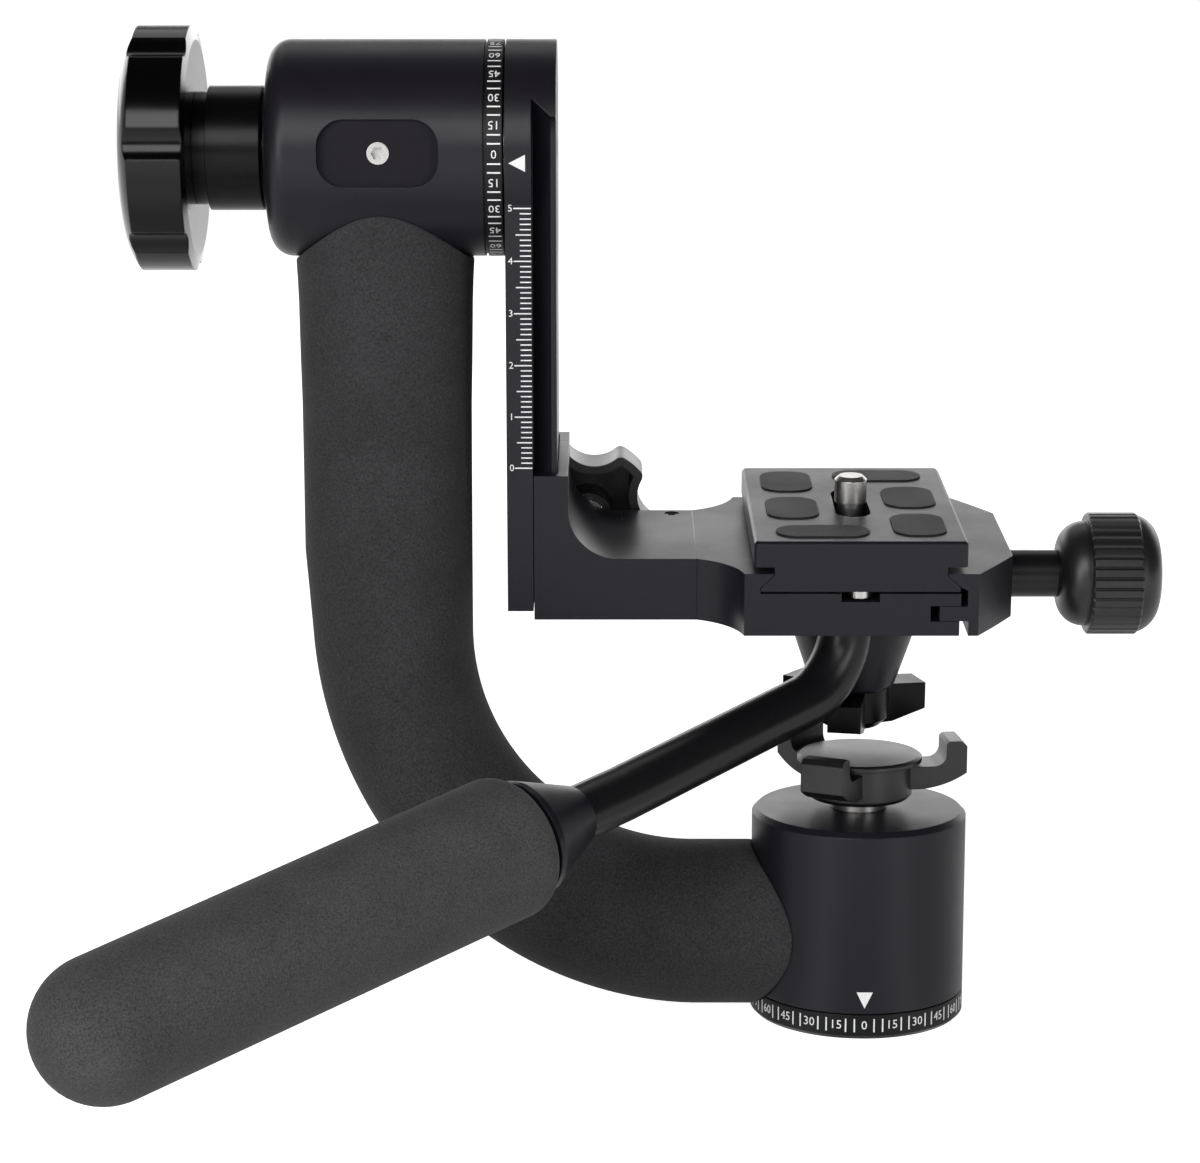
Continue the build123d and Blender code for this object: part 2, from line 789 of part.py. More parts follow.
with BuildPart() as pan_knob_nut:
    tube(pan_line, pan_top + 0.1, stud_top_z + 0.5, pan_stud_d + 2 * shaft_gap, pan_nut_d)
finish(pan_knob_nut, "pan_knob_nut")

# ------------------------------------------------------------------ swing arm
with BuildPart() as swing_arm:
    rod(tilt_line, swing_x, swing_right_x, tilt_housing_d)
    with BuildSketch(in_cradle(Plane.YZ.offset(swing_x))) as rail_face:
        with Locations((0, (cradle_drop + rail_bottom) / 2)):
            Rectangle(rail_w, cradle_drop - rail_bottom)
    extrude(rail_face.sketch, amount=swing_t)
    groove_end = cradle_drop + groove_top - cutter_r
    for side in (-1, 1):
        groove = [
            (rail_neck_x, side * dovetail_neck_w / 2),
            (rail_lip_x, side * dovetail_w / 2),
            (swing_right_x + 1, side * dovetail_w / 2),
            (swing_right_x + 1, side * (dovetail_neck_w / 2 + cutter_r)),
            (rail_neck_x, side * (dovetail_neck_w / 2 + cutter_r)),
        ]
        with BuildSketch(in_cradle(Plane.XY.offset(rail_bottom - 1))) as groove_section:
            with BuildLine():
                Polyline(*groove, close=True)
            make_face()
        extrude(groove_section.sketch, amount=groove_end - rail_bottom + 1, mode=Mode.SUBTRACT)
        cutter_line = in_cradle(along_x(0, side * (dovetail_neck_w / 2 + cutter_r), groove_end))
        turned(
            cutter_line,
            [
                (rail_neck_x, 0),
                (rail_neck_x, cutter_r),
                (rail_lip_x, cutter_r - (dovetail_w - dovetail_neck_w) / 2),
                (swing_right_x + 1, cutter_r - (dovetail_w - dovetail_neck_w) / 2),
                (swing_right_x + 1, 0),
            ],
            Mode.SUBTRACT,
        )
    seat_x = swing_x + shaft_seat_depth
    rod(tilt_line, swing_x - 1, seat_x, bearing_bore_d, Mode.SUBTRACT)
    head_l = (shaft_screw_head_d - shaft_screw_d) / 2
    turned(
        tilt_line,
        [
            (swing_right_x, 0),
            (swing_right_x, shaft_screw_head_d / 2),
            (swing_right_x - head_l, shaft_screw_d / 2),
            (seat_x - 1, shaft_screw_d / 2),
            (seat_x - 1, 0),
        ],
        Mode.SUBTRACT,
    )
    stop_line = in_cradle(along_x(0, 0, stop_screw_z))
    rod(stop_line, swing_x - 1, swing_right_x + 1, stop_screw_d, Mode.SUBTRACT)
finish(swing_arm, "swing_arm")

shaft_flange_d = bearing_bore_d + 3.0
shaft_end_x = tilt_collar_x - 2.5

with BuildPart() as tilt_shaft:
    turned(
        tilt_line,
        [
            (seat_x, 0),
            (seat_x, bearing_bore_d / 2),
            (swing_x, bearing_bore_d / 2),
            (swing_x, shaft_flange_d / 2),
            (tilt_right_x, shaft_flange_d / 2),
            (tilt_right_x, bearing_bore_d / 2),
            (tilt_bearing_x - 0.5, bearing_bore_d / 2),
            (tilt_bearing_x - 1.5, tilt_spindle_d / 2),
            (tilt_left_x, tilt_spindle_d / 2),
            (tilt_left_x, tilt_thread_d / 2),
            (shaft_end_x + 0.5, tilt_thread_d / 2),
            (shaft_end_x, tilt_thread_d / 2 - 0.5),
            (shaft_end_x, 0),
        ],
    )
    rod(tilt_line, seat_x, seat_x - shaft_screw_l + shaft_seat_depth, shaft_screw_d, Mode.SUBTRACT)
finish(tilt_shaft, "tilt_shaft")

with BuildPart() as shaft_screw:
    screw_end_x = seat_x - shaft_screw_l + shaft_seat_depth
    turned(
        tilt_line,
        [
            (swing_right_x, 0),
            (swing_right_x, shaft_screw_head_d / 2),
            (swing_right_x - head_l, shaft_screw_d / 2),
            (screw_end_x, shaft_screw_d / 2),
            (screw_end_x, 0),
        ],
    )
    with BuildSketch(Plane.YZ.offset(swing_right_x)) as drive:
        with Locations((0, tilt_axis_h)):
            RegularPolygon(shaft_screw_d / 2 * 0.75, 6)
    extrude(drive.sketch, amount=-head_l, mode=Mode.SUBTRACT)
finish(shaft_screw, "shaft_screw")

with BuildPart() as tilt_bearing_inner:
    bearing_ring(tilt_line, tilt_bearing_x, bearing_bore_d, inner_ring_d)
finish(tilt_bearing_inner, "tilt_bearing_inner")

with BuildPart() as rail_stop_screw:
    rod(stop_line, swing_x, swing_right_x + stop_screw_proud, stop_screw_d)
    turned(
        stop_line,
        [
            (swing_x, 0),
            (swing_x, stop_screw_head_d / 2),
            (swing_x - stop_screw_head_h * 0.4, stop_screw_head_d / 2),
            (swing_x - stop_screw_head_h, stop_screw_head_d / 4),
            (swing_x - stop_screw_head_h, 0),
        ],
    )
finish(rail_stop_screw, "rail_stop_screw")

# ------------------------------------------------------------------ tilt lock knob

with BuildPart() as tilt_lock_knob:
    knob_centre = (0, tilt_axis_h)
    valley_circle_r = tilt_knob_valley_r + tilt_knob_scallop_r
    valleys = ring_of(knob_centre, valley_circle_r, tilt_knob_lobes, tilt_knob_first_valley)
    with BuildSketch(Plane.YZ.offset(tilt_knob_x)) as star:
        with Locations(knob_centre):
            Circle(tilt_knob_r)
        with Locations(*valleys):
            Circle(tilt_knob_scallop_r, mode=Mode.SUBTRACT)
    extrude(star.sketch, amount=tilt_knob_t)
    with BuildSketch(tilt_line) as knob_form:
        with BuildLine():
            face = Line((tilt_knob_x, 0), (tilt_knob_x, tilt_knob_flat_r))
            dome = TangentArc(
                face @ 1, (tilt_knob_x + tilt_knob_dome, tilt_knob_r + 0.01), tangent=face % 1
            )
            Polyline(
                dome @ 1,
                (tilt_collar_x - tilt_knob_edge_l, tilt_knob_r + 0.01),
                (tilt_collar_x, tilt_knob_r - tilt_knob_edge_r),
                (tilt_collar_x, 0),
                face @ 0,
            )
        make_face()
    revolve(knob_form.sketch, axis=Axis(tilt_line.origin, tilt_line.x_dir), mode=Mode.INTERSECT)
    rod(tilt_line, tilt_collar_x, shaft_end_x - 3, tilt_nut_d, Mode.SUBTRACT)
finish(tilt_lock_knob, "tilt_lock_knob")

with BuildPart() as tilt_knob_nut:
    rod(tilt_line, tilt_collar_x, shaft_end_x - 3, tilt_nut_d)
    rod(tilt_line, tilt_collar_x, shaft_end_x - 0.5, tilt_thread_d + 2 * shaft_gap, Mode.SUBTRACT)
finish(tilt_knob_nut, "tilt_knob_nut")

with BuildPart() as tilt_collar:
    collar_bore_r = tilt_thread_d / 2 + shaft_gap
    collar_end_x = tilt_washer_x - face_gap
    turned(
        tilt_line,
        [
            (tilt_collar_x, collar_bore_r),
            (tilt_collar_x, tilt_collar_neck_d / 2),
            (tilt_collar_x + tilt_collar_neck_l, tilt_collar_neck_d / 2),
            (tilt_collar_x + tilt_collar_neck_l, tilt_collar_d / 2),
            (collar_end_x - 0.4, tilt_collar_d / 2),
            (collar_end_x, tilt_collar_d / 2 - 0.4),
            (collar_end_x, collar_bore_r),
        ],
    )
finish(tilt_collar, "tilt_collar")

# ------------------------------------------------------------------ bracket
half_w = rail_w / 2
leg_line = in_cradle(Plane.XZ.offset(-half_w))


def corner_profile(right_x):
    """The side view of the angle: upright leg, rounded inner corner and shelf."""
    with BuildLine() as outline:
        Polyline(
            (bracket_x, bracket_bottom),
            (bracket_x, bracket_top),
            (leg_x, bracket_top),
            (leg_x, shelf_z + bracket_fillet),
        )
        RadiusArc(
            (leg_x, shelf_z + bracket_fillet),
            (leg_x + bracket_fillet, shelf_z),
            bracket_fillet,
        )
        Polyline(
            (leg_x + bracket_fillet, shelf_z),
            (right_x, shelf_z),
            (right_x, bracket_bottom),
            (bracket_x, bracket_bottom),
        )
    return outline.edges()


flank_gap = slide_gap * 1.25
channel_neck = dovetail_neck_w / 2 + flank_gap
channel_half = dovetail_w / 2 + flank_gap
channel_floor_x = swing_right_x + slide_gap
channel = [
    (rail_neck_x - 1, -channel_neck),
    (rail_neck_x, -channel_neck),
    (rail_lip_x, -channel_half),
    (channel_floor_x, -channel_half),
    (channel_floor_x, channel_half),
    (rail_lip_x, channel_half),
    (rail_neck_x, channel_neck),
    (rail_neck_x - 1, channel_neck),
]
channel_plane = in_cradle(Plane.XY.offset(bracket_bottom - 1))
channel_l = bracket_top - bracket_bottom + 2
height_line = in_cradle(along_y(height_knob_x, 0, height_knob_z))
shelf_line = in_cradle(along_z(shelf_screw_x, shelf_screw_y))
stop_slot_w = stop_screw_d + 0.6
stop_slot_depth = stop_screw_proud + 0.1

with BuildPart() as bracket:
    with BuildSketch(leg_line) as side_view:
        make_face(corner_profile(seam_x))
    extrude(side_view.sketch, amount=rail_w)
    prism(channel_plane, channel, channel_l, Mode.SUBTRACT)
    with BuildSketch(in_cradle(Plane.XZ.offset(-half_w - 1))) as jaw_room:
        with BuildLine():
            Polyline(
                (bracket_x - 1, bracket_bottom - 1),
                (jaw_end_x + 0.1, bracket_bottom - 1),
                (jaw_end_x + 0.1, bracket_top + 1),
                (bracket_x - 1, bracket_top + 1),
                close=True,
            )
        make_face()
    extrude(jaw_room.sketch, amount=half_w + 1 - jaw_split_y, mode=Mode.SUBTRACT)
    rod(height_line, jaw_split_y + 1, height_screw_end - 2, height_screw_d + 2 * shaft_gap, Mode.SUBTRACT)
    with BuildSketch(in_cradle(Plane.YZ.offset(channel_floor_x - 1))) as stop_slot:
        with Locations((0, (bracket_bottom + stop_screw_z + stop_slot_w / 2) / 2)):
            Rectangle(stop_slot_w, stop_screw_z + stop_slot_w / 2 - bracket_bottom)
    extrude(stop_slot.sketch, amount=1 + stop_slot_depth, mode=Mode.SUBTRACT)
    for side in (-1, 1):
        line = in_cradle(along_x(0, side * joint_screw_y, joint_screw_z))
        rod(line, channel_floor_x - 1, seam_x + 1, joint_screw_d, Mode.SUBTRACT)
        rod(
            line,
            channel_floor_x - 1,
            channel_floor_x + 0.3 + joint_screw_head_h,
            joint_screw_head_d,
            Mode.SUBTRACT,
        )
    rod(shelf_line, shelf_z - shelf_screw_l, shelf_z + 1, shelf_screw_d, Mode.SUBTRACT)
finish(bracket, "bracket")

with BuildPart() as shelf_screw:
    rod(shelf_line, shelf_z - shelf_screw_l, shelf_z - 0.2, shelf_screw_d)
    with BuildSketch(in_cradle(Plane.XY.offset(shelf_z - 0.2))) as hex_socket:
        with Locations((shelf_screw_x, shelf_screw_y)):
            RegularPolygon(shelf_screw_d * 0.3, 6)
    extrude(hex_socket.sketch, amount=-1.5, mode=Mode.SUBTRACT)
finish(shelf_screw, "shelf_screw")

with BuildPart() as bracket_jaw:
    with BuildSketch(leg_line) as side_view:
        make_face(corner_profile(seam_x))
    extrude(side_view.sketch, amount=half_w - jaw_split_y - 0.1)
    prism(channel_plane, channel, channel_l, Mode.SUBTRACT)
    with BuildSketch(in_cradle(Plane.XZ.offset(-half_w - 1))) as beyond:
        with Locations(((jaw_end_x + seam_x) / 2 + 1, (bracket_bottom + bracket_top) / 2)):
            Rectangle(seam_x - jaw_end_x + 2, bracket_top - bracket_bottom + 4)
    extrude(beyond.sketch, amount=half_w, mode=Mode.SUBTRACT)
    rod(height_line, 0, half_w + 1, height_screw_d + 2 * shaft_gap, Mode.SUBTRACT)
finish(bracket_jaw, "bracket_jaw")

with BuildPart() as joint_screws:
    for side in (-1, 1):
        line = in_cradle(along_x(0, side * joint_screw_y, joint_screw_z))
        head_x = channel_floor_x + 0.3
        rod(line, head_x, head_x + joint_screw_head_h, joint_screw_head_d)
        rod(line, head_x + joint_screw_head_h, seam_x + joint_screw_reach, joint_screw_d)
        rod(line, head_x, head_x + 2, joint_screw_d * 0.8, Mode.SUBTRACT)
finish(joint_screws, "joint_screws")

# ------------------------------------------------------------------ height lock knob
height_knob_y = half_w + height_knob_gap

with BuildPart() as height_lock_knob:
    knob_face = in_cradle(Plane.XZ.offset(-height_knob_y))
    centre = (height_knob_x, height_knob_z)
    scallop_circle_r = height_knob_valley_r + height_knob_scallop_r
    scallops = ring_of(centre, scallop_circle_r, height_knob_lobes, height_knob_first_valley)
    with BuildSketch(knob_face) as star:
        with Locations(centre):
            Circle(height_knob_r)
        with Locations(*scallops):
            Circle(height_knob_scallop_r, mode=Mode.SUBTRACT)
    extrude(star.sketch, amount=-height_knob_t)
    vertical_edges = edges().filter_by(Axis(cradle.origin, cradle.y_dir))
    fillet(vertical_edges, 1.6)
    far_face = faces().sort_by(Axis(cradle.origin, cradle.y_dir))[-1]
    fillet(far_face.edges(), 1.2)
    with BuildSketch(knob_face) as hollow:
        with Locations(centre):
            Circle(height_knob_r - height_knob_wall)
        with Locations(*scallops):
            Circle(height_knob_scallop_r + height_knob_wall, mode=Mode.SUBTRACT)
        with Locations(centre):
            Circle(height_knob_boss_d / 2, mode=Mode.SUBTRACT)
    extrude(hollow.sketch, amount=-height_knob_t + height_knob_face, mode=Mode.SUBTRACT)
    rod(
        height_line,
        height_knob_y - 1,
        height_knob_y + height_knob_t - height_knob_face,
        height_collar_d,
        Mode.SUBTRACT,
    )
finish(height_lock_knob, "height_lock_knob")

with BuildPart() as height_lock_screw:
    rod(height_line, height_screw_end, half_w + 0.1, height_screw_d)
    rod(
        height_line,
        half_w + 0.1,
        height_knob_y + height_knob_t - height_knob_face,
        height_collar_d,
    )
finish(height_lock_screw, "height_lock_screw")

# ------------------------------------------------------------------ clamp
half_l = clamp_l / 2
floor_left_x = plate_x - plate_dovetail_w / 2 - slide_gap
left_hook_x = plate_x - plate_neck_w / 2 - slide_gap
hook_tip_z = plate_top - plate_flange_t - plate_neck_t
clamp_front = in_cradle(Plane.XZ.offset(half_l))
clamp_line = in_cradle(along_x(0, 0, clamp_screw_z))
stud_line = in_cradle(along_z(hub_x))

with BuildPart() as clamp_body:
    clamp_section = [
        (seam_x, bracket_bottom),
        (clamp_right_x, bracket_bottom),
        (clamp_right_x, tongue_bottom_z),
        (tongue_left_x, tongue_bottom_z),
        (tongue_left_x, tongue_top_z),
        (clamp_right_x + 0.2, tongue_top_z),
        (clamp_right_x + 0.2, clamp_floor_z),
        (floor_left_x, clamp_floor_z),
        (floor_left_x, plate_bottom + plate_edge_t),
        (left_hook_x, hook_tip_z),
        (left_hook_x, shelf_z),
        (seam_x, shelf_z),
    ]
    prism(clamp_front, clamp_section, -clamp_l)
    with BuildSketch(in_cradle(Plane.XY.offset(bracket_bottom - 1))) as plan:
        with BuildLine():
            Line((seam_x, -half_w), (seam_x, half_w))
            ThreePointArc((seam_x, half_w), clamp_flare_mid, (clamp_left_x, half_l))
            Polyline(
                (clamp_left_x, half_l),
                (clamp_right_x + 1, half_l),
                (clamp_right_x + 1, -half_l),
                (clamp_left_x, -half_l),
            )
            ThreePointArc(
                (clamp_left_x, -half_l), (clamp_flare_mid[0], -clamp_flare_mid[1]), (seam_x, -half_w)
            )
        make_face()
    extrude(plan.sketch, amount=shelf_z - bracket_bottom + 2, mode=Mode.INTERSECT)
    for side in (-1, 1):
        with BuildSketch(in_cradle(Plane.XY.offset(clamp_floor_z - notch_depth))) as notch:
            with Locations((plate_x, side * (half_l - notch_l / 2 + 0.5))):
                Rectangle(notch_w, notch_l + 1)
        extrude(notch.sketch, amount=notch_depth + 1, mode=Mode.SUBTRACT)
        line = in_cradle(along_x(0, side * joint_screw_y, joint_screw_z))
        rod(line, seam_x - 1, seam_x + joint_screw_reach, joint_screw_d, Mode.SUBTRACT)
    rod(clamp_line, clamp_screw_in_x, clamp_right_x + 1, clamp_screw_d + 2 * shaft_gap, Mode.SUBTRACT)
    rod(stud_line, bracket_bottom - 1, bracket_bottom + stud_in, stud_d, Mode.SUBTRACT)
finish(clamp_body, "clamp_body")

with BuildPart() as clamp_jaw:
    hook_flank_x = plate_x + plate_dovetail_w / 2 + slide_gap
    jaw_section = [
        (tongue_left_x + tongue_play, tongue_bottom_z + 0.1),
        (jaw_face_x + 0.2, tongue_bottom_z + 0.1),
        (jaw_face_x + 0.2, bracket_bottom),
        (jaw_x, bracket_bottom),
        (jaw_x, shelf_z),
        (jaw_hook_x, shelf_z),
        (jaw_hook_x, hook_tip_z),
        (hook_flank_x, plate_bottom + plate_edge_t),
        (jaw_face_x, plate_bottom + 0.2),
        (jaw_face_x, tongue_top_z - 0.1),
        (tongue_left_x + tongue_play, tongue_top_z - 0.1),
    ]
    prism(clamp_front, jaw_section, -clamp_l)
    with BuildSketch(in_cradle(Plane.XY.offset(bracket_bottom - 1))) as plan:
        with BuildLine():
            Polyline(
                (jaw_front_x, -half_l),
                (tongue_left_x, -half_l),
                (tongue_left_x, half_l),
                (jaw_front_x, half_l),
            )
            ThreePointArc((jaw_front_x, half_l), jaw_flare_mid, (jaw_x, jaw_flat_w / 2))
            Line((jaw_x, jaw_flat_w / 2), (jaw_x, -jaw_flat_w / 2))
            ThreePointArc(
                (jaw_x, -jaw_flat_w / 2), (jaw_flare_mid[0], -jaw_flare_mid[1]), (jaw_front_x, -half_l)
            )
        make_face()
    extrude(plan.sketch, amount=shelf_z - bracket_bottom + 2, mode=Mode.INTERSECT)
    rod(clamp_line, tongue_left_x, jaw_x + 1, clamp_screw_d + 2 * shaft_gap, Mode.SUBTRACT)
finish(clamp_jaw, "clamp_jaw")

collar_x = jaw_x + 0.1
knob_x = collar_x + clamp_collar_l
knob_end_x = knob_x + clamp_knob_back_l + clamp_knob_band_l + clamp_knob_front_l

with BuildPart() as clamp_screw:
    rod(clamp_line, clamp_screw_in_x + 0.5, collar_x, clamp_screw_d)
    rod(clamp_line, collar_x, knob_x, clamp_collar_d)
    rod(clamp_line, knob_x, knob_end_x - clamp_knob_front_l, clamp_screw_d)
finish(clamp_screw, "clamp_screw")

with BuildPart() as clamp_knob:
    band_start = knob_x + clamp_knob_back_l
    band_end = band_start + clamp_knob_band_l
    with BuildSketch(clamp_line) as knob_form:
        with BuildLine():
            back = ThreePointArc(
                (knob_x, clamp_collar_d / 2 + 0.6),
                (knob_x + 1.6, clamp_knob_back_d / 2 - 1.4),
                (band_start, clamp_knob_back_d / 2),
            )
            band = Polyline(
                back @ 1,
                (band_start, clamp_knob_d / 2 - 0.4),
                (band_start + 0.4, clamp_knob_d / 2),
                (band_end - 0.4, clamp_knob_d / 2),
                (band_end, clamp_knob_d / 2 - 0.4),
            )
            front = ThreePointArc(
                band @ 1,
                (knob_end_x - 1.5, clamp_knob_d / 2 - 2.2),
                (knob_end_x, clamp_knob_face_d / 2),
            )
            Polyline(front @ 1, (knob_end_x, 0), (knob_x, 0), back @ 0)
        make_face()
    revolve(knob_form.sketch, axis=Axis(clamp_line.origin, clamp_line.x_dir))
    with BuildSketch(in_cradle(Plane.YZ.offset(band_start))) as flutes:
        for index, spot in enumerate(ring_of((0, clamp_screw_z), clamp_knob_d / 2 + 0.25, clamp_knob_flutes)):
            with Locations(Location((*spot, 0), (0, 0, 360 / clamp_knob_flutes * index))):
                RegularPolygon(clamp_knob_flute_d / 2, 4)
    extrude(flutes.sketch, amount=clamp_knob_band_l, mode=Mode.SUBTRACT)
    rod(clamp_line, knob_x, knob_end_x - clamp_knob_front_l, clamp_screw_d, Mode.SUBTRACT)
finish(clamp_knob, "clamp_knob")

# ------------------------------------------------------------------ quick release plate
half_plate = plate_l / 2
pad_spots = [  # centre of each pad from the plate's centre, long one way or the other
    (-11.8, 17.4, False),
    (-11.8, -4.2, False),
    (-6.9, -22.3, True),
    (11.8, -17.4, False),
    (11.8, 4.2, False),
    (6.9, 22.3, True),
]


def pad_outlines():
    """The six pads, laid round the slot like a pinwheel."""
    for x, y, lies_across in pad_spots:
        across, along = (pad_l + 1.5, pad_w - 1.5) if lies_across else (pad_w, pad_l)
        with Locations((plate_x + x, y)):
            RectangleRounded(across, along, pad_small_corner)


with BuildPart() as qr_plate:
    half_flange = plate_w / 2
    half_neck = plate_neck_w / 2
    half_dovetail = plate_dovetail_w / 2
    flange_z = plate_top - plate_flange_t
    neck_z = flange_z - plate_neck_t
    plate_section = [
        (plate_x - half_flange, plate_top),
        (plate_x + half_flange, plate_top),
        (plate_x + half_flange, flange_z),
        (plate_x + half_neck, flange_z),
        (plate_x + half_neck, neck_z),
        (plate_x + half_dovetail, plate_bottom + plate_edge_t),
        (plate_x + half_dovetail, plate_bottom),
        (plate_x - half_dovetail, plate_bottom),
        (plate_x - half_dovetail, plate_bottom + plate_edge_t),
        (plate_x - half_neck, neck_z),
        (plate_x - half_neck, flange_z),
        (plate_x - half_flange, flange_z),
    ]
    prism(in_cradle(Plane.XZ.offset(half_plate)), plate_section, -plate_l)
    corner_edges = (
        edges()
        .filter_by(Axis(cradle.origin, cradle.z_dir))
        .filter_by(lambda e: abs(e.length - plate_flange_t) < 0.01)
    )
    fillet(corner_edges, plate_corner)
    chamfer(faces().sort_by(Axis(cradle.origin, cradle.z_dir))[-1].edges(), plate_edge)
    with BuildSketch(in_cradle(Plane.XY.offset(plate_top))) as pads_seen:
        pad_outlines()
    extrude(pads_seen.sketch, amount=-pad_recess, mode=Mode.SUBTRACT)
    with BuildSketch(in_cradle(Plane.XY.offset(plate_top))) as slot:
        with Locations((plate_x, 0)):
            SlotOverall(camera_slot_l, camera_slot_w, rotation=90)
    extrude(slot.sketch, amount=-plate_t, mode=Mode.SUBTRACT)
    with BuildSketch(in_cradle(Plane.XY.offset(plate_bottom))) as head_room:
        with Locations((plate_x, 0)):
            SlotOverall(camera_slot_l + camera_recess_w - camera_slot_w, camera_recess_w, rotation=90)
    extrude(head_room.sketch, amount=plate_t - plate_flange_t, mode=Mode.SUBTRACT)
    for side in (-1, 1):
        line = in_cradle(along_z(plate_x, side * (half_plate - plate_stop_inset)))
        rod(line, plate_bottom, plate_bottom + 4, plate_stop_d * 0.6, Mode.SUBTRACT)
finish(qr_plate, "qr_plate")

with BuildPart() as plate_pads:
    with BuildSketch(in_cradle(Plane.XY.offset(plate_top - pad_recess))) as pads_drawn:
        pad_outlines()
    extrude(pads_drawn.sketch, amount=pad_recess + pad_proud)
finish(plate_pads, "plate_pads")

with BuildPart() as plate_stop_screws:
    for side in (-1, 1):
        line = in_cradle(along_z(plate_x, side * (half_plate - plate_stop_inset)))
        rod(line, plate_bottom, plate_bottom + 4, plate_stop_d * 0.6)
        rod(line, plate_bottom - plate_stop_h, plate_bottom, plate_stop_d)
finish(plate_stop_screws, "plate_stop_screws")

with BuildPart() as camera_screw:
    screw_line = in_cradle(along_z(plate_x))
    head_top = plate_top - plate_flange_t - 0.1
    screw_top = plate_top + camera_screw_proud
    turned(
        screw_line,
        [
            (head_top - camera_head_h, 0),
            (head_top - camera_head_h, camera_head_d / 2),
            (head_top, camera_head_d / 2),
            (head_top, camera_neck_d / 2),
            (plate_top + camera_neck_top, camera_neck_d / 2),
            (plate_top + camera_neck_top, camera_screw_d / 2),
            (screw_top - camera_screw_end, camera_screw_d / 2),
            (screw_top, camera_screw_d / 2 - camera_screw_end),
            (screw_top, 0),
        ],
    )
    with BuildSketch(in_cradle(Plane.XY.offset(head_top - camera_head_h))) as coin_slot:
        with Locations((plate_x, 0)):
            Rectangle(camera_head_d + 1, 1.6)
    extrude(coin_slot.sketch, amount=1.4, mode=Mode.SUBTRACT)
finish(camera_screw, "camera_screw")

# ------------------------------------------------------------------ handle
with BuildPart() as handle_stud:
    rod(stud_line, bracket_bottom + stud_in - stud_l, bracket_bottom + stud_in, stud_d)
finish(handle_stud, "handle_stud")

grip_tip = grip_end + grip_d / 2
rod_end_along = ferrule_start + ferrule_l + rod_in_grip
handle_route_points = [
    Vector(handle_x, handle_y, rod_top_z),
    Vector(handle_x, handle_y, rod_elbow_z),
    handle_line.from_local_coords(Vector(rod_second_bend, 0, 0)),
    handle_line.from_local_coords(Vector(rod_end_along, 0, 0)),
]

with BuildPart() as handle_rod:
    route_points = [cradle.from_local_coords(p) for p in handle_route_points]
    with BuildLine() as rod_route:
        FilletPolyline(*route_points, radius=rod_elbow_r)
    with BuildSketch(Plane(origin=route_points[0], z_dir=cradle.z_dir * -1)) as rod_section:
        Circle(rod_d / 2)
    sweep(rod_section.sketch, path=rod_route.line)
finish(handle_rod, "handle_rod")

grip_line = in_cradle(handle_line)

with BuildPart() as handle_hub:
    turned(
        stud_line,
        [
            (hub_top_z - hub_h, stud_d / 2 + shaft_gap),
            (hub_top_z - hub_h, hub_bottom_d / 2 - 0.5),
            (hub_top_z - hub_h + 0.5, hub_bottom_d / 2),
            (hub_top_z - hub_rim, hub_top_d / 2),
            (hub_top_z, hub_top_d / 2),
            (hub_top_z, stud_d / 2 + shaft_gap),
        ],
    )
    add(handle_rod.part, mode=Mode.SUBTRACT)
finish(handle_hub, "handle_hub")

with BuildPart() as handle_ferrule:
    turned(
        grip_line,
        [
            (ferrule_start, rod_d / 2),
            (ferrule_start, ferrule_small_d / 2 - ferrule_edge),
            (ferrule_start + ferrule_edge, ferrule_small_d / 2),
            (ferrule_start + ferrule_l - 1.2, ferrule_d / 2),
            (ferrule_start + ferrule_l, ferrule_d / 2),
            (ferrule_start + ferrule_l, rod_d / 2),
        ],
    )
finish(handle_ferrule, "handle_ferrule")

with BuildPart() as handle_grip:
    grip_start = ferrule_start + ferrule_l + 0.1
    with BuildSketch(grip_line) as grip_form:
        with BuildLine():
            shoulder = ThreePointArc(
                (grip_start, grip_root_d / 2 - grip_shoulder_r),
                (
                    grip_start + grip_shoulder_r * (1 - cos(pi / 4)),
                    grip_root_d / 2 - grip_shoulder_r * (1 - sin(pi / 4)),
                ),
                (grip_start + grip_shoulder_r, grip_root_d / 2),
            )
            side = Line(shoulder @ 1, (grip_end, grip_d / 2))
            tip = ThreePointArc(
                side @ 1,
                (grip_end + grip_d / 2 * cos(pi / 4), grip_d / 2 * sin(pi / 4)),
                (grip_tip, 0),
            )
            Polyline(
                tip @ 1,
                (rod_end_along + 0.1, 0),
                (rod_end_along + 0.1, rod_d / 2 + shaft_gap),
                (grip_start, rod_d / 2 + shaft_gap),
                shoulder @ 0,
            )
        make_face()
    revolve(grip_form.sketch, axis=Axis(grip_line.origin, grip_line.x_dir))
finish(handle_grip, "handle_grip")

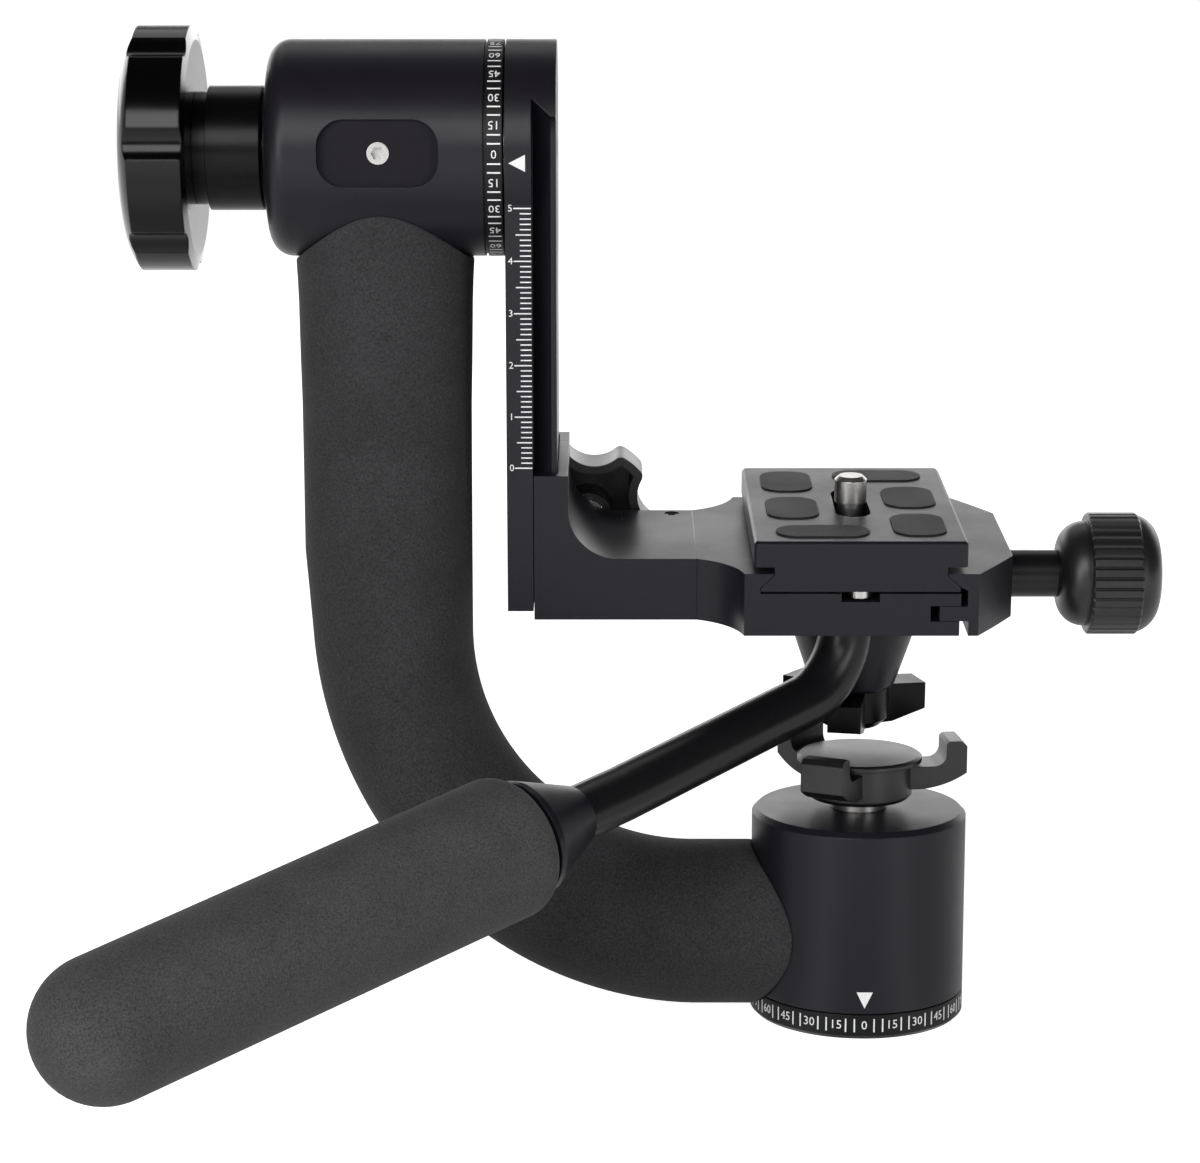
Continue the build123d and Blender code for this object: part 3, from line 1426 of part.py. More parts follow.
with BuildPart() as handle_lock_knob:
    knob_bottom = handle_knob_top_z - handle_knob_h
    turned(
        stud_line,
        [
            (knob_bottom, 0),
            (knob_bottom, handle_knob_hub_d / 2 - 1.5),
            (knob_bottom + 1.5, handle_knob_hub_d / 2),
            (handle_knob_top_z, handle_knob_hub_d / 2),
            (handle_knob_top_z, 0),
        ],
    )
    for angle in handle_knob_arm_angles:
        side = Plane(
            origin=(hub_x, 0, 0),
            x_dir=(cos(radians(angle)), sin(radians(angle)), 0),
            z_dir=(sin(radians(angle)), -cos(radians(angle)), 0),
        )
        blade = [
            (0, handle_knob_top_z),
            (handle_knob_hub_d / 2, handle_knob_top_z),
            (handle_knob_reach, handle_knob_top_z - handle_knob_tip_drop),
            (handle_knob_reach, handle_knob_top_z - handle_knob_tip_drop - handle_knob_tip_h),
            (handle_knob_hub_d / 2, knob_bottom),
            (0, knob_bottom),
        ]
        with BuildSketch(in_cradle(side)) as blade_side:
            with BuildLine():
                Polyline(*blade, close=True)
            make_face()
        extrude(blade_side.sketch, amount=handle_knob_arm_w / 2, both=True)
    rod(stud_line, knob_bottom + 1.0, handle_knob_top_z, handle_nut_d, Mode.SUBTRACT)
finish(handle_lock_knob, "handle_lock_knob")

with BuildPart() as handle_knob_nut:
    tube(stud_line, knob_bottom + 1.0, handle_knob_top_z, stud_d + 2 * shaft_gap, handle_nut_d)
finish(handle_knob_nut, "handle_knob_nut")

print(len(written), "pieces")
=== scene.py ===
import json
from math import atan2, cos, hypot, pi, radians, sin, sqrt

import bmesh
import bpy
from mathutils import Matrix, Vector


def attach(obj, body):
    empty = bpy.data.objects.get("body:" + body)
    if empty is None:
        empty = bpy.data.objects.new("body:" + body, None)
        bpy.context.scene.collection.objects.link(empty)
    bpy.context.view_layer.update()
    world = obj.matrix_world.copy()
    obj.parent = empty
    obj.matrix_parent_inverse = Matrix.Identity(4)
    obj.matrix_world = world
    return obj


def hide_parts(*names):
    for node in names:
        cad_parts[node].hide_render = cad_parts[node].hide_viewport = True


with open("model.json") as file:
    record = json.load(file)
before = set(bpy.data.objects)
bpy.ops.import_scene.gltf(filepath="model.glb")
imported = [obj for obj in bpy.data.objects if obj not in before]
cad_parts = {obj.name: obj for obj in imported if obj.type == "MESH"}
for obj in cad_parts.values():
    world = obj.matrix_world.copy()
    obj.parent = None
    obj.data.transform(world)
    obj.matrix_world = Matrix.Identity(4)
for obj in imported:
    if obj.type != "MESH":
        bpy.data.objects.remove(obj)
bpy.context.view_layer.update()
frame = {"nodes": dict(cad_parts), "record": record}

MM = 0.001

# ---------------------------------------------------------------- sizes shared with the solids
ARM_X = -93.1 * MM
ARM_Z = 17.9 * MM
ARM_BEND = 60.0 * MM
FOAM_R = 16.4 * MM
FOAM_WALL = 5.3 * MM
FOAM_RIM = 0.9 * MM
# how far the outside of the bend is stretched thinner, and how far round that goes on
FOAM_THIN = 2.45 * MM
FOAM_THIN_TO = radians(105)
FOAM_THIN_POWER = 1.25
# heights up the straight leg, and how much the sleeve has grown there, in millimetres
FOAM_GROWTH = (
    (86, 0.0),
    (94, 0.0),
    (110, 0.03),
    (123, 0.08),
    (131, 0.26),
    (137, 0.36),
    (143, 0.45),
    (147, 0.6),
    (150.5, 0.78),
)
FOAM_SIDES = 80
FOAM_BEND_STEPS = 48
HOUSING_R = 21.3 * MM
TILT_R = 20.65 * MM
TILT_Z = 172.1 * MM
PLATE_DROP = 70.4 * MM
LEAN = radians(4.83)
END_GAP = 0.15 * MM

GRIP_ROOT = Vector((-3.4, -13.0, -35.2)) * MM
GRIP_AZIMUTH = radians(44.2)
GRIP_DROOP = radians(5.55)
GRIP_START = 87.6 * MM
GRIP_END = 179.6 * MM
GRIP_R = 12.5 * MM
GRIP_ROOT_R = 13.1 * MM
GRIP_SHOULDER = 5.0 * MM
GRIP_BORE = 5.25 * MM
GRIP_SIDES = 72
GRIP_RINGS = 12

SWING_X = -69.5 * MM
RAIL_FRONT = -19.0 * MM
RAIL_STRIP = 5.0 * MM
TILT_RING = (-73.5 * MM, -69.9 * MM)
TILT_GROOVE = 0.5 * MM
PAN_RING_TOP = 5.0 * MM
PAN_INDEX_TOP = 9.7 * MM
TILT_INDEX_X = -65.6 * MM
RULER_ZERO = 11.7 * MM

# the bracket's inner corner, hollowed by a share of its radius that leaves the height screw covered
LEG_X = -57.8 * MM
SHELF_Z = -6.3 * MM
CORNER = 9.0 * MM
HOLLOW = 0.88
SAME_PLACE = 0.002 * MM
SAME_PLANE = radians(0.3)
ON_THE_ARC = 0.05 * MM
PAST_THE_CHORD = 0.01 * MM
LEVEL = 0.9999

# the milled pocket on the front of the tilt housing
POCKET_LONG = 22.7 * MM
POCKET_HIGH = 12.6 * MM
POCKET_Y = -18.75 * MM
POCKET_ROUGH = 0.85

# the cradle is drawn upright, with heights from the plate's top, and hangs from the tilt axis
HUNG = Matrix.Translation((0, 0, TILT_Z)) @ Matrix.Rotation(LEAN, 4, "X")
CRADLE = HUNG @ Matrix.Translation((0, 0, -PLATE_DROP))


# ---------------------------------------------------------------- finishes
def socket(group, name, kind, way, default=None, low=0.0, high=1.0):
    """One named input or output on a node group."""
    made = group.interface.new_socket(name=name, in_out=way, socket_type=kind)
    if default is not None:
        made.default_value = default
    if kind == "NodeSocketFloat" and way == "INPUT":
        made.min_value = low
        made.max_value = high
    return made


def wire(tree, source, target):
    tree.links.new(source, target)


def fill(tree, node, place, value):
    """Set an input of a node, by a plain value or by a link."""
    if isinstance(value, bpy.types.NodeSocket):
        wire(tree, value, node.inputs[place])
    else:
        node.inputs[place].default_value = value


def noise(tree, vector, scale, detail=2.0, roughness=0.5):
    node = tree.nodes.new("ShaderNodeTexNoise")
    places = ("Vector", "Scale", "Detail", "Roughness")
    for place, value in zip(places, (vector, scale, detail, roughness)):
        fill(tree, node, place, value)
    return node.outputs["Fac"]


def remap(tree, value, low, high, to_low=0.0, to_high=1.0):
    """A value brought from one range to another, and kept within it."""
    node = tree.nodes.new("ShaderNodeMapRange")
    places = ("Value", "From Min", "From Max", "To Min", "To Max")
    for place, number in zip(places, (value, low, high, to_low, to_high)):
        fill(tree, node, place, number)
    return node.outputs["Result"]


def calc(tree, kind, first, second=0.0):
    """The result of one sum, product or other reckoning."""
    node = tree.nodes.new("ShaderNodeMath")
    node.operation = kind
    fill(tree, node, 0, first)
    fill(tree, node, 1, second)
    return node.outputs["Value"]


def times(tree, colour, amount):
    """A colour made lighter or darker."""
    node = tree.nodes.new("ShaderNodeVectorMath")
    node.operation = "SCALE"
    fill(tree, node, 0, colour)
    fill(tree, node, "Scale", amount)
    return node.outputs["Vector"]


def new_group(name, inputs, outputs):
    """An empty node group with its sockets; returns it with the places to read from and write to."""
    group = bpy.data.node_groups.new(name, "ShaderNodeTree")
    for label, kind, default, high in inputs:
        socket(group, label, kind, "INPUT", default, 0.0, high)
    for label, kind in outputs:
        socket(group, label, kind, "OUTPUT")
    given = group.nodes.new("NodeGroupInput").outputs
    result = group.nodes.new("NodeGroupOutput").inputs
    return group, given, result


def broken_edges():
    """Edges that are slightly rounded over, and where they are."""
    group, given, result = new_group(
        "broken edges",
        [("Radius", "NodeSocketFloat", 0.3 * MM, 0.01)],
        [("Normal", "NodeSocketVector"), ("Edge", "NodeSocketFloat")],
    )
    soft = group.nodes.new("ShaderNodeBevel")
    soft.samples = 4
    wire(group, given["Radius"], soft.inputs["Radius"])
    flat = group.nodes.new("ShaderNodeNewGeometry")
    match = group.nodes.new("ShaderNodeVectorMath")
    match.operation = "DOT_PRODUCT"
    wire(group, soft.outputs["Normal"], match.inputs[0])
    wire(group, flat.outputs["Normal"], match.inputs[1])
    wire(group, soft.outputs["Normal"], result["Normal"])
    wire(group, remap(group, match.outputs["Value"], 0.985, 0.8), result["Edge"])
    return group


def blasted_surface():
    """Bead blasted metal: an even fine grain, faint handling smudges, and edges painted a little lighter as
    a highlight.
    """
    group, given, result = new_group(
        "bead blast",
        [
            ("Colour", "NodeSocketColor", (0.03, 0.03, 0.03, 1), None),
            ("Dullness", "NodeSocketFloat", 0.45, 1.0),
            ("Grain size", "NodeSocketFloat", 5000.0, 100000.0),
            ("Smudge", "NodeSocketFloat", 0.05, 1.0),
            ("Edge", "NodeSocketFloat", 0.0, 1.0),
            ("Rubbed", "NodeSocketFloat", 0.6, 10.0),
        ],
        [("Colour", "NodeSocketColor"), ("Roughness", "NodeSocketFloat"), ("Height", "NodeSocketFloat")],
    )
    place = group.nodes.new("ShaderNodeTexCoord").outputs["Object"]
    fine = noise(group, place, given["Grain size"], detail=1.0)
    cloud = noise(group, place, 55.0, detail=4.0, roughness=0.62)
    smudge = calc(group, "MULTIPLY", remap(group, cloud, 0.35, 0.7, -1.0, 1.0), given["Smudge"])
    polish = calc(group, "MULTIPLY", given["Edge"], -0.08)
    rough = calc(group, "ADD", given["Dullness"], calc(group, "ADD", smudge, polish))
    wire(group, rough, result["Roughness"])
    # the edges' colour is lifted here: a painted highlight along them
    edge_highlight = calc(group, "MULTIPLY", given["Edge"], given["Rubbed"])
    lift = calc(group, "ADD", remap(group, fine, 0.3, 0.7, 0.85, 1.15), edge_highlight)
    wire(group, times(group, given["Colour"], lift), result["Colour"])
    wire(group, fine, result["Height"])
    return group


def foam_surface():
    """Closed cell foam: a skin of tiny cells with pale flecks, slightly uneven in tone."""
    group, given, result = new_group(
        "foam cells",
        [
            ("Colour", "NodeSocketColor", (0.03, 0.03, 0.03, 1), None),
            ("Cell size", "NodeSocketFloat", 1500.0, 10000.0),
        ],
        [("Colour", "NodeSocketColor"), ("Height", "NodeSocketFloat")],
    )
    place = group.nodes.new("ShaderNodeTexCoord").outputs["Object"]
    cells = group.nodes.new("ShaderNodeTexVoronoi")
    wire(group, place, cells.inputs["Vector"])
    wire(group, given["Cell size"], cells.inputs["Scale"])
    speckle = noise(group, place, given["Cell size"], detail=3.0, roughness=0.7)
    cloud = noise(group, place, 90.0, detail=3.0, roughness=0.55)
    flecks = remap(group, speckle, 0.3, 0.7, 0.5, 1.55)
    tone = calc(group, "MULTIPLY", flecks, remap(group, cloud, 0.3, 0.7, 0.88, 1.12))
    wire(group, times(group, given["Colour"], tone), result["Colour"])
    pits = calc(group, "MULTIPLY", cells.outputs["Distance"], 0.6)
    wire(group, calc(group, "ADD", pits, speckle), result["Height"])
    return group


EDGES = broken_edges()
BLAST = blasted_surface()
FOAM = foam_surface()


def new_finish(name, metallic, specular):
    """A material with its plain shader, ready for the places that a surface feeds."""
    finish = bpy.data.materials.new(name)
    finish.use_nodes = True
    tree = finish.node_tree
    shader = tree.nodes["Principled BSDF"]
    shader.inputs["Metallic"].default_value = metallic
    shader.inputs["Specular IOR Level"].default_value = specular
    return finish, tree, shader


def placed(tree, group, **values):
    """A node group in a material, with this finish's own values."""
    node = tree.nodes.new("ShaderNodeGroup")
    node.node_tree = group
    for label, value in values.items():
        node.inputs[label.replace("_", " ")].default_value = value
    return node


def bumped(tree, shader, height, depth, normal=None):
    """Raise a surface by its height, over the normal of its rounded edges where it has them."""
    bump = tree.nodes.new("ShaderNodeBump")
    bump.inputs["Distance"].default_value = depth
    wire(tree, height, bump.inputs["Height"])
    if normal:
        wire(tree, normal, bump.inputs["Normal"])
    wire(tree, bump.outputs["Normal"], shader.inputs["Normal"])


def blasted(
    name,
    colour,
    dullness,
    metallic=0.0,
    specular=0.3,
    grain=5000.0,
    depth=0.006,
    smudge=0.04,
    edge=0.3,
    edge_highlight=0.6,
):
    """A hard finish; its grain's depth and its edge radius are in millimetres, and its edges are painted
    lighter as a highlight.
    """
    finish, tree, shader = new_finish(name, metallic, specular)
    edges = placed(tree, EDGES, Radius=edge * MM)
    skin = placed(
        tree,
        BLAST,
        Colour=(*colour, 1),
        Dullness=dullness,
        Grain_size=grain,
        Smudge=smudge,
        Rubbed=edge_highlight,
    )
    wire(tree, edges.outputs["Edge"], skin.inputs["Edge"])
    wire(tree, skin.outputs["Colour"], shader.inputs["Base Color"])
    wire(tree, skin.outputs["Roughness"], shader.inputs["Roughness"])
    bumped(tree, shader, skin.outputs["Height"], depth * MM, edges.outputs["Normal"])
    return finish


def foamed(name, colour, cell, depth):
    """A foam finish; the depth of its cells is in millimetres."""
    finish, tree, shader = new_finish(name, metallic=0.0, specular=0.2)
    skin = placed(tree, FOAM, Colour=(*colour, 1), Cell_size=cell)
    wire(tree, skin.outputs["Colour"], shader.inputs["Base Color"])
    shader.inputs["Roughness"].default_value = 0.85
    shader.inputs["Sheen Weight"].default_value = 0.06
    shader.inputs["Sheen Roughness"].default_value = 0.5
    bumped(tree, shader, skin.outputs["Height"], depth * MM)
    return finish


def pocketed(plain):
    """The housing's finish, left rough on the floor of its milled pocket."""
    finish = plain.copy()
    finish.name = "satin black with a milled pocket"
    tree = finish.node_tree
    shader = tree.nodes["Principled BSDF"]
    place = tree.nodes.new("ShaderNodeVectorMath")
    place.operation = "SUBTRACT"
    place.inputs[1].default_value = (ARM_X, POCKET_Y, TILT_Z)
    wire(tree, tree.nodes.new("ShaderNodeTexCoord").outputs["Object"], place.inputs[0])
    apart = tree.nodes.new("ShaderNodeVectorMath")
    apart.operation = "ABSOLUTE"
    wire(tree, place.outputs["Vector"], apart.inputs[0])
    split = tree.nodes.new("ShaderNodeSeparateXYZ")
    wire(tree, apart.outputs["Vector"], split.inputs["Vector"])
    floor = calc(tree, "LESS_THAN", split.outputs["Y"], 0.1 * MM)
    along = calc(tree, "LESS_THAN", split.outputs["X"], POCKET_LONG / 2)
    level = calc(tree, "LESS_THAN", split.outputs["Z"], POCKET_HIGH / 2)
    milled = calc(tree, "MULTIPLY", floor, calc(tree, "MULTIPLY", along, level))
    outside = shader.inputs["Roughness"].links[0].from_socket
    rough = calc(tree, "MAXIMUM", outside, calc(tree, "MULTIPLY", milled, POCKET_ROUGH))
    wire(tree, rough, shader.inputs["Roughness"])
    return finish


satin_black = blasted("satin black anodised", (0.0105, 0.0093, 0.0135), dullness=0.37, specular=0.24)
scale_black = blasted("scale ring black", (0.007, 0.007, 0.008), dullness=0.4, specular=0.2)
gloss_black = blasted(
    "gloss black moulding",
    (0.001, 0.001, 0.0012),
    dullness=0.16,
    specular=0.24,
    grain=900.0,
    depth=0.002,
    smudge=0.02,
    edge=0.6,
    edge_highlight=0.0,
)
knob_black = blasted(
    "moulded black",
    (0.010, 0.010, 0.011),
    dullness=0.36,
    specular=0.45,
    grain=4000.0,
    smudge=0.03,
    edge=0.35,
    edge_highlight=0.4,
)
black_plastic = blasted(
    "textured black plastic", (0.002, 0.002, 0.0023), dullness=0.28, specular=0.15, grain=4000.0
)
black_steel = blasted(
    "blackened steel", (0.007, 0.007, 0.008), dullness=0.3, specular=0.25, depth=0.004
)
bright_steel = blasted(
    "turned steel",
    (0.5, 0.49, 0.48),
    dullness=0.32,
    metallic=1.0,
    specular=0.5,
    grain=6000.0,
    depth=0.003,
    smudge=0.06,
    edge=0.15,
    edge_highlight=0.1,
)
ground_steel = blasted(
    "ground bearing steel",
    (0.75, 0.75, 0.77),
    dullness=0.15,
    metallic=1.0,
    specular=0.5,
    grain=7000.0,
    depth=0.001,
    smudge=0.03,
    edge=0.15,
    edge_highlight=0.1,
)
bronze = blasted(
    "sintered bronze",
    (0.42, 0.25, 0.10),
    dullness=0.45,
    metallic=1.0,
    specular=0.5,
    grain=3500.0,
    depth=0.01,
    smudge=0.1,
    edge=0.2,
    edge_highlight=0.1,
)
rubber = blasted(
    "pad rubber",
    (0.012, 0.012, 0.013),
    dullness=0.62,
    grain=2500.0,
    depth=0.03,
    smudge=0.05,
    edge=0.4,
    edge_highlight=0.0,
)
paint = blasted(
    "white marking paint",
    (0.9, 0.9, 0.9),
    dullness=0.6,
    specular=0.4,
    grain=8000.0,
    depth=0.001,
    smudge=0.03,
    edge=0.05,
    edge_highlight=0.0,
)
sleeve_foam = foamed("sleeve foam", (0.033, 0.032, 0.034), cell=2300.0, depth=0.06)
grip_foam = foamed("grip foam", (0.061, 0.061, 0.061), cell=2600.0, depth=0.06)

by_slot = {
    "satin_black": satin_black,
    "foam_black": sleeve_foam,
    "gloss_black": gloss_black,
    "black_plastic": black_plastic,
    "rubber_black": rubber,
    "steel": bright_steel,
    "black_steel": black_steel,
    "bearing_steel": ground_steel,
    "bronze": bronze,
}
by_node = {
    "pan_base": scale_black,
    "tilt_scale_ring": scale_black,
    "tilt_collar": black_plastic,
    "clamp_knob": knob_black,
    "pan_lock_knob": knob_black,
    "height_lock_knob": knob_black,
    "tilt_housing": pocketed(satin_black),
}

for part in frame["record"]["subparts"]:
    finish = by_node.get(part["node"], by_slot[part["material_slot"]])
    for slot in frame["nodes"][part["node"]].material_slots:
        slot.material = finish


# ---------------------------------------------------------------- making pieces
def piece(name, shape, finish, body, soft_angle=None):
    """Turn a finished bmesh into an object that rides on a body."""
    mesh = bpy.data.meshes.new(name)
    shape.to_mesh(mesh)
    shape.free()
    made = bpy.data.objects.new(name, mesh)
    bpy.context.scene.collection.objects.link(made)
    mesh.materials.append(finish)
    if soft_angle:
        for face in mesh.polygons:
            face.use_smooth = True
        mesh.set_sharp_from_angle(angle=radians(soft_angle))
    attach(made, body)
    return made


def verts_of(geom):
    return [v for v in geom if isinstance(v, bmesh.types.BMVert)]


def edges_of(geom):
    return [e for e in geom if isinstance(e, bmesh.types.BMEdge)]


def lathe(shape, outline, steps):
    """Turn an outline of (along, out) points about the x axis into a closed form."""
    verts = [shape.verts.new((along, 0, out)) for along, out in outline]
    edges = [shape.edges.new(pair) for pair in zip(verts, verts[1:])]
    bmesh.ops.spin(
        shape,
        geom=verts + edges,
        cent=(0, 0, 0),
        axis=(1, 0, 0),
        angle=2 * pi,
        steps=steps,
        use_merge=True,
    )
    bmesh.ops.remove_doubles(shape, verts=list(shape.verts), dist=0.001 * MM)
    bmesh.ops.recalc_face_normals(shape, faces=list(shape.faces))


def quarter(centre, radius, first, last, steps):
    """Points on a rounded corner, from one angle to another."""
    turns = [first + (last - first) * step / steps for step in range(steps + 1)]
    return [(centre[0] + radius * cos(turn), centre[1] + radius * sin(turn)) for turn in turns]


# ---------------------------------------------------------------- foam
def foam_sleeve():
    """The J shaped sleeve, sawn at both ends to sit on the round housings."""
    shape = bmesh.new()
    centre = Vector((ARM_X + ARM_BEND, 0, ARM_Z + ARM_BEND))
    start = Matrix.Translation((centre.x, 0, ARM_Z)) @ Matrix.Rotation(pi / 2, 4, "Y")
    bmesh.ops.create_circle(shape, segments=FOAM_SIDES, radius=FOAM_R, cap_ends=False, matrix=start)
    made = bmesh.ops.spin(
        shape,
        geom=list(shape.edges),
        cent=centre,
        axis=(0, 1, 0),
        angle=pi / 2,
        steps=FOAM_BEND_STEPS,
        use_merge=False,
    )
    last = edges_of(made["geom_last"])
    for height, growth in FOAM_GROWTH:
        grown = bmesh.ops.extrude_edge_only(shape, edges=last)["geom"]
        last = edges_of(grown)
        for vert in verts_of(grown):
            across = Vector((vert.co.x - ARM_X, vert.co.y, 0)).normalized() * (FOAM_R + growth * MM)
            vert.co = Vector((ARM_X + across.x, across.y, height * MM))
    for vert in verts_of(bmesh.ops.extrude_edge_only(shape, edges=last)["geom"]):
        vert.co.z = TILT_Z - sqrt((TILT_R + END_GAP) ** 2 - vert.co.y**2)
    # stretched thinner over the outside of the bend, and a little way up the leg
    for vert in shape.verts:
        arm = Vector((vert.co.x - centre.x, 0, vert.co.z - centre.z))
        if arm.x >= 0:
            continue
        outward = arm.normalized() if arm.z < 0 else Vector((-1, 0, 0))
        turn = atan2(-arm.x, -arm.z) if arm.z < 0 else pi / 2 + arm.z / ARM_BEND
        if turn < FOAM_THIN_TO:
            out = (arm.dot(outward) - ARM_BEND + FOAM_R) / (2 * FOAM_R)
            swell = sin(pi * (turn / FOAM_THIN_TO) ** FOAM_THIN_POWER)
            vert.co -= outward * FOAM_THIN * swell * max(0.0, out)
    ends = [edge for edge in shape.edges if edge.is_boundary and edge.verts[0].co.z < centre.z / 2]
    for step in (0.3, 0.65, 1.0):
        grown = bmesh.ops.extrude_edge_only(shape, edges=ends)["geom"]
        ends = edges_of(grown)
        for vert in verts_of(grown):
            seat = -sqrt((HOUSING_R + END_GAP) ** 2 - vert.co.y**2)
            vert.co.x = centre.x + (seat - centre.x) * step
    bmesh.ops.recalc_face_normals(shape, faces=list(shape.faces))
    sleeve = piece("foam_sleeve", shape, sleeve_foam, "yoke")
    wall = sleeve.modifiers.new("wall", "SOLIDIFY")
    wall.thickness = FOAM_WALL
    wall.offset = -1
    rim = sleeve.modifiers.new("soft ends", "BEVEL")
    rim.width = FOAM_RIM
    rim.segments = 3
    rim.limit_method = "ANGLE"
    rim.angle_limit = radians(50)
    for face in sleeve.data.polygons:
        face.use_smooth = True
    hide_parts("arm_foam")


def foam_grip():
    """The handle's foam grip: a soft shoulder, a slight taper and a round end."""
    shape = bmesh.new()
    shoulder_end = GRIP_START + GRIP_SHOULDER
    outline = [(GRIP_START, GRIP_BORE)]
    outline += quarter((shoulder_end, GRIP_ROOT_R - GRIP_SHOULDER), GRIP_SHOULDER, pi, pi / 2, 10)
    for step in range(1, GRIP_RINGS):
        share = step / GRIP_RINGS
        along = shoulder_end + (GRIP_END - shoulder_end) * share
        outline.append((along, GRIP_ROOT_R + (GRIP_R - GRIP_ROOT_R) * share))
    outline += quarter((GRIP_END, 0), GRIP_R, pi / 2, 0, 16)
    lathe(shape, outline, GRIP_SIDES)
    bore = [edge for edge in shape.edges if edge.is_boundary]
    inner = bmesh.ops.extrude_edge_only(shape, edges=bore)["geom"]
    bmesh.ops.translate(shape, verts=verts_of(inner), vec=(GRIP_END - GRIP_START, 0, 0))
    bmesh.ops.edgeloop_fill(shape, edges=edges_of(inner))
    bmesh.ops.recalc_face_normals(shape, faces=list(shape.faces))
    grip = piece("foam_grip", shape, grip_foam, "handle", soft_angle=50)
    way = Matrix.Rotation(pi + GRIP_AZIMUTH, 4, "Z") @ Matrix.Rotation(GRIP_DROOP, 4, "Y")
    grip.data.transform(CRADLE @ Matrix.Translation(GRIP_ROOT) @ way)
    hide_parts("handle_grip")


foam_sleeve()
foam_grip()


# ---------------------------------------------------------------- the bracket's hollow inner corner
def hollow_corner(node, name, body):
    """A copy of an angle piece, its inner corner hollowed between the upright leg and the shelf."""
    shape = bmesh.new()
    shape.from_mesh(frame["nodes"][node].data)
    bmesh.ops.transform(shape, matrix=CRADLE.inverted(), verts=list(shape.verts))
    bmesh.ops.remove_doubles(shape, verts=list(shape.verts), dist=SAME_PLACE)
    bmesh.ops.dissolve_limit(
        shape, angle_limit=SAME_PLANE, verts=list(shape.verts), edges=list(shape.edges)
    )
    # the points on the corner's arc go over to the other side of its chord
    for vert in shape.verts:
        along = vert.co.x - LEG_X
        up = vert.co.z - SHELF_Z
        beyond = (along + up - CORNER) / 2
        if beyond > PAST_THE_CHORD and abs(hypot(along, up) - CORNER) < ON_THE_ARC:
            vert.co.x -= beyond * (1 + HOLLOW)
            vert.co.z -= beyond * (1 + HOLLOW)
    bmesh.ops.triangulate(shape, faces=[face for face in shape.faces if len(face.verts) > 4])
    bmesh.ops.transform(shape, matrix=CRADLE, verts=list(shape.verts))
    angle = piece(name, shape, satin_black, body, soft_angle=30)
    # the flat sides are shaded flat, so that only the hollow is smooth
    upright = CRADLE.to_3x3().inverted()
    for face in angle.data.polygons:
        face.use_smooth = max(abs(part) for part in upright @ face.normal) < LEVEL
    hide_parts(node)


hollow_corner("bracket", "angle_bracket", "carriage")
hollow_corner("bracket_jaw", "angle_jaw", "rail_jaw")

# ---------------------------------------------------------------- painted marks
PAINT_T = 0.03 * MM
PAINT_SUNK = 0.008 * MM
STROKE = 0.3 * MM
RULER_STROKE = 0.24 * MM
FIGURE_STEP = 15
STROKE_ASIDE = 5.2
POINTER_CUTS = 3


def stroke(shape, x, y, width, height):
    """A painted stroke in flat drawing coordinates."""
    size = Matrix.Diagonal((width, height, PAINT_T, 1))
    bmesh.ops.create_cube(shape, size=1.0, matrix=Matrix.Translation((x, y, PAINT_T / 2)) @ size)


def pointer(width, height):
    """A filled triangle with its apex up, cut fine enough to wrap round a housing."""
    shape = bmesh.new()
    places = ((-width / 2, 0, 0), (width / 2, 0, 0), (0, height, 0))
    shape.faces.new([shape.verts.new(place) for place in places])
    for level in range(POINTER_CUTS):
        bmesh.ops.subdivide_edges(shape, edges=list(shape.edges), cuts=1, use_grid_fill=True)
    raised = bmesh.ops.extrude_face_region(shape, geom=list(shape.faces))["geom"]
    bmesh.ops.translate(shape, verts=verts_of(raised), vec=(0, 0, PAINT_T))
    bmesh.ops.recalc_face_normals(shape, faces=list(shape.faces))
    return shape


def figures(shape, text, size, x, y, turn=0.0):
    """Plain digits, centred on a point."""
    curve = bpy.data.curves.new("figures", "FONT")
    curve.body = text
    curve.size = size
    curve.align_x = "CENTER"
    curve.align_y = "CENTER"
    curve.resolution_u = 2
    curve.extrude = PAINT_T / 2
    maker = bpy.data.objects.new("figures", curve)
    bpy.context.scene.collection.objects.link(maker)
    bpy.context.view_layer.update()
    mesh = bpy.data.meshes.new_from_object(maker.evaluated_get(bpy.context.evaluated_depsgraph_get()))
    mesh.transform(Matrix.Translation((x, y, PAINT_T / 2)) @ Matrix.Rotation(turn, 4, "Z"))
    shape.from_mesh(mesh)
    bpy.data.objects.remove(maker)
    bpy.data.curves.remove(curve)
    bpy.data.meshes.remove(mesh)


def degree_scale(radius, width, size, turn):
    """Figures every fifteen degrees between two strokes, drawn flat, unrolled from the ring."""
    shape = bmesh.new()
    for middle in range(0, 360, FIGURE_STEP):
        figures(shape, str(min(middle, 360 - middle)), size, radians(middle) * radius, 0, turn)
        for offset in (-STROKE_ASIDE, STROKE_ASIDE):
            stroke(shape, radians(middle + offset) * radius, 0, STROKE, width)
    return shape


def wrap(shape, radius, seat):
    """Roll a flat drawing round a ring; seat puts an angle, a distance out and a y in place."""
    for vert in shape.verts:
        vert.co = Vector(seat(vert.co.x / radius, radius + vert.co.z - PAINT_SUNK, vert.co.y))
    return shape


def round_pan_axis(z):
    """Seat a drawing on the pan axis, its middle towards the front, at a height."""
    return lambda angle, out, y: (out * sin(angle), -out * cos(angle), z + y)


def round_tilt_axis(x, lean, way):
    """Seat a drawing on the tilt axis, its middle towards the front, with its own y along x."""
    return lambda angle, out, y: (x + way * y, -out * cos(angle + lean), TILT_Z - out * sin(angle + lean))


pan_marks = degree_scale(HOUSING_R, 2.7 * MM, 2.5 * MM, 0.0)
pan_marks_seat = round_pan_axis(PAN_RING_TOP / 2 + 0.4 * MM)
piece("pan_scale_marks", wrap(pan_marks, HOUSING_R, pan_marks_seat), paint, "base")

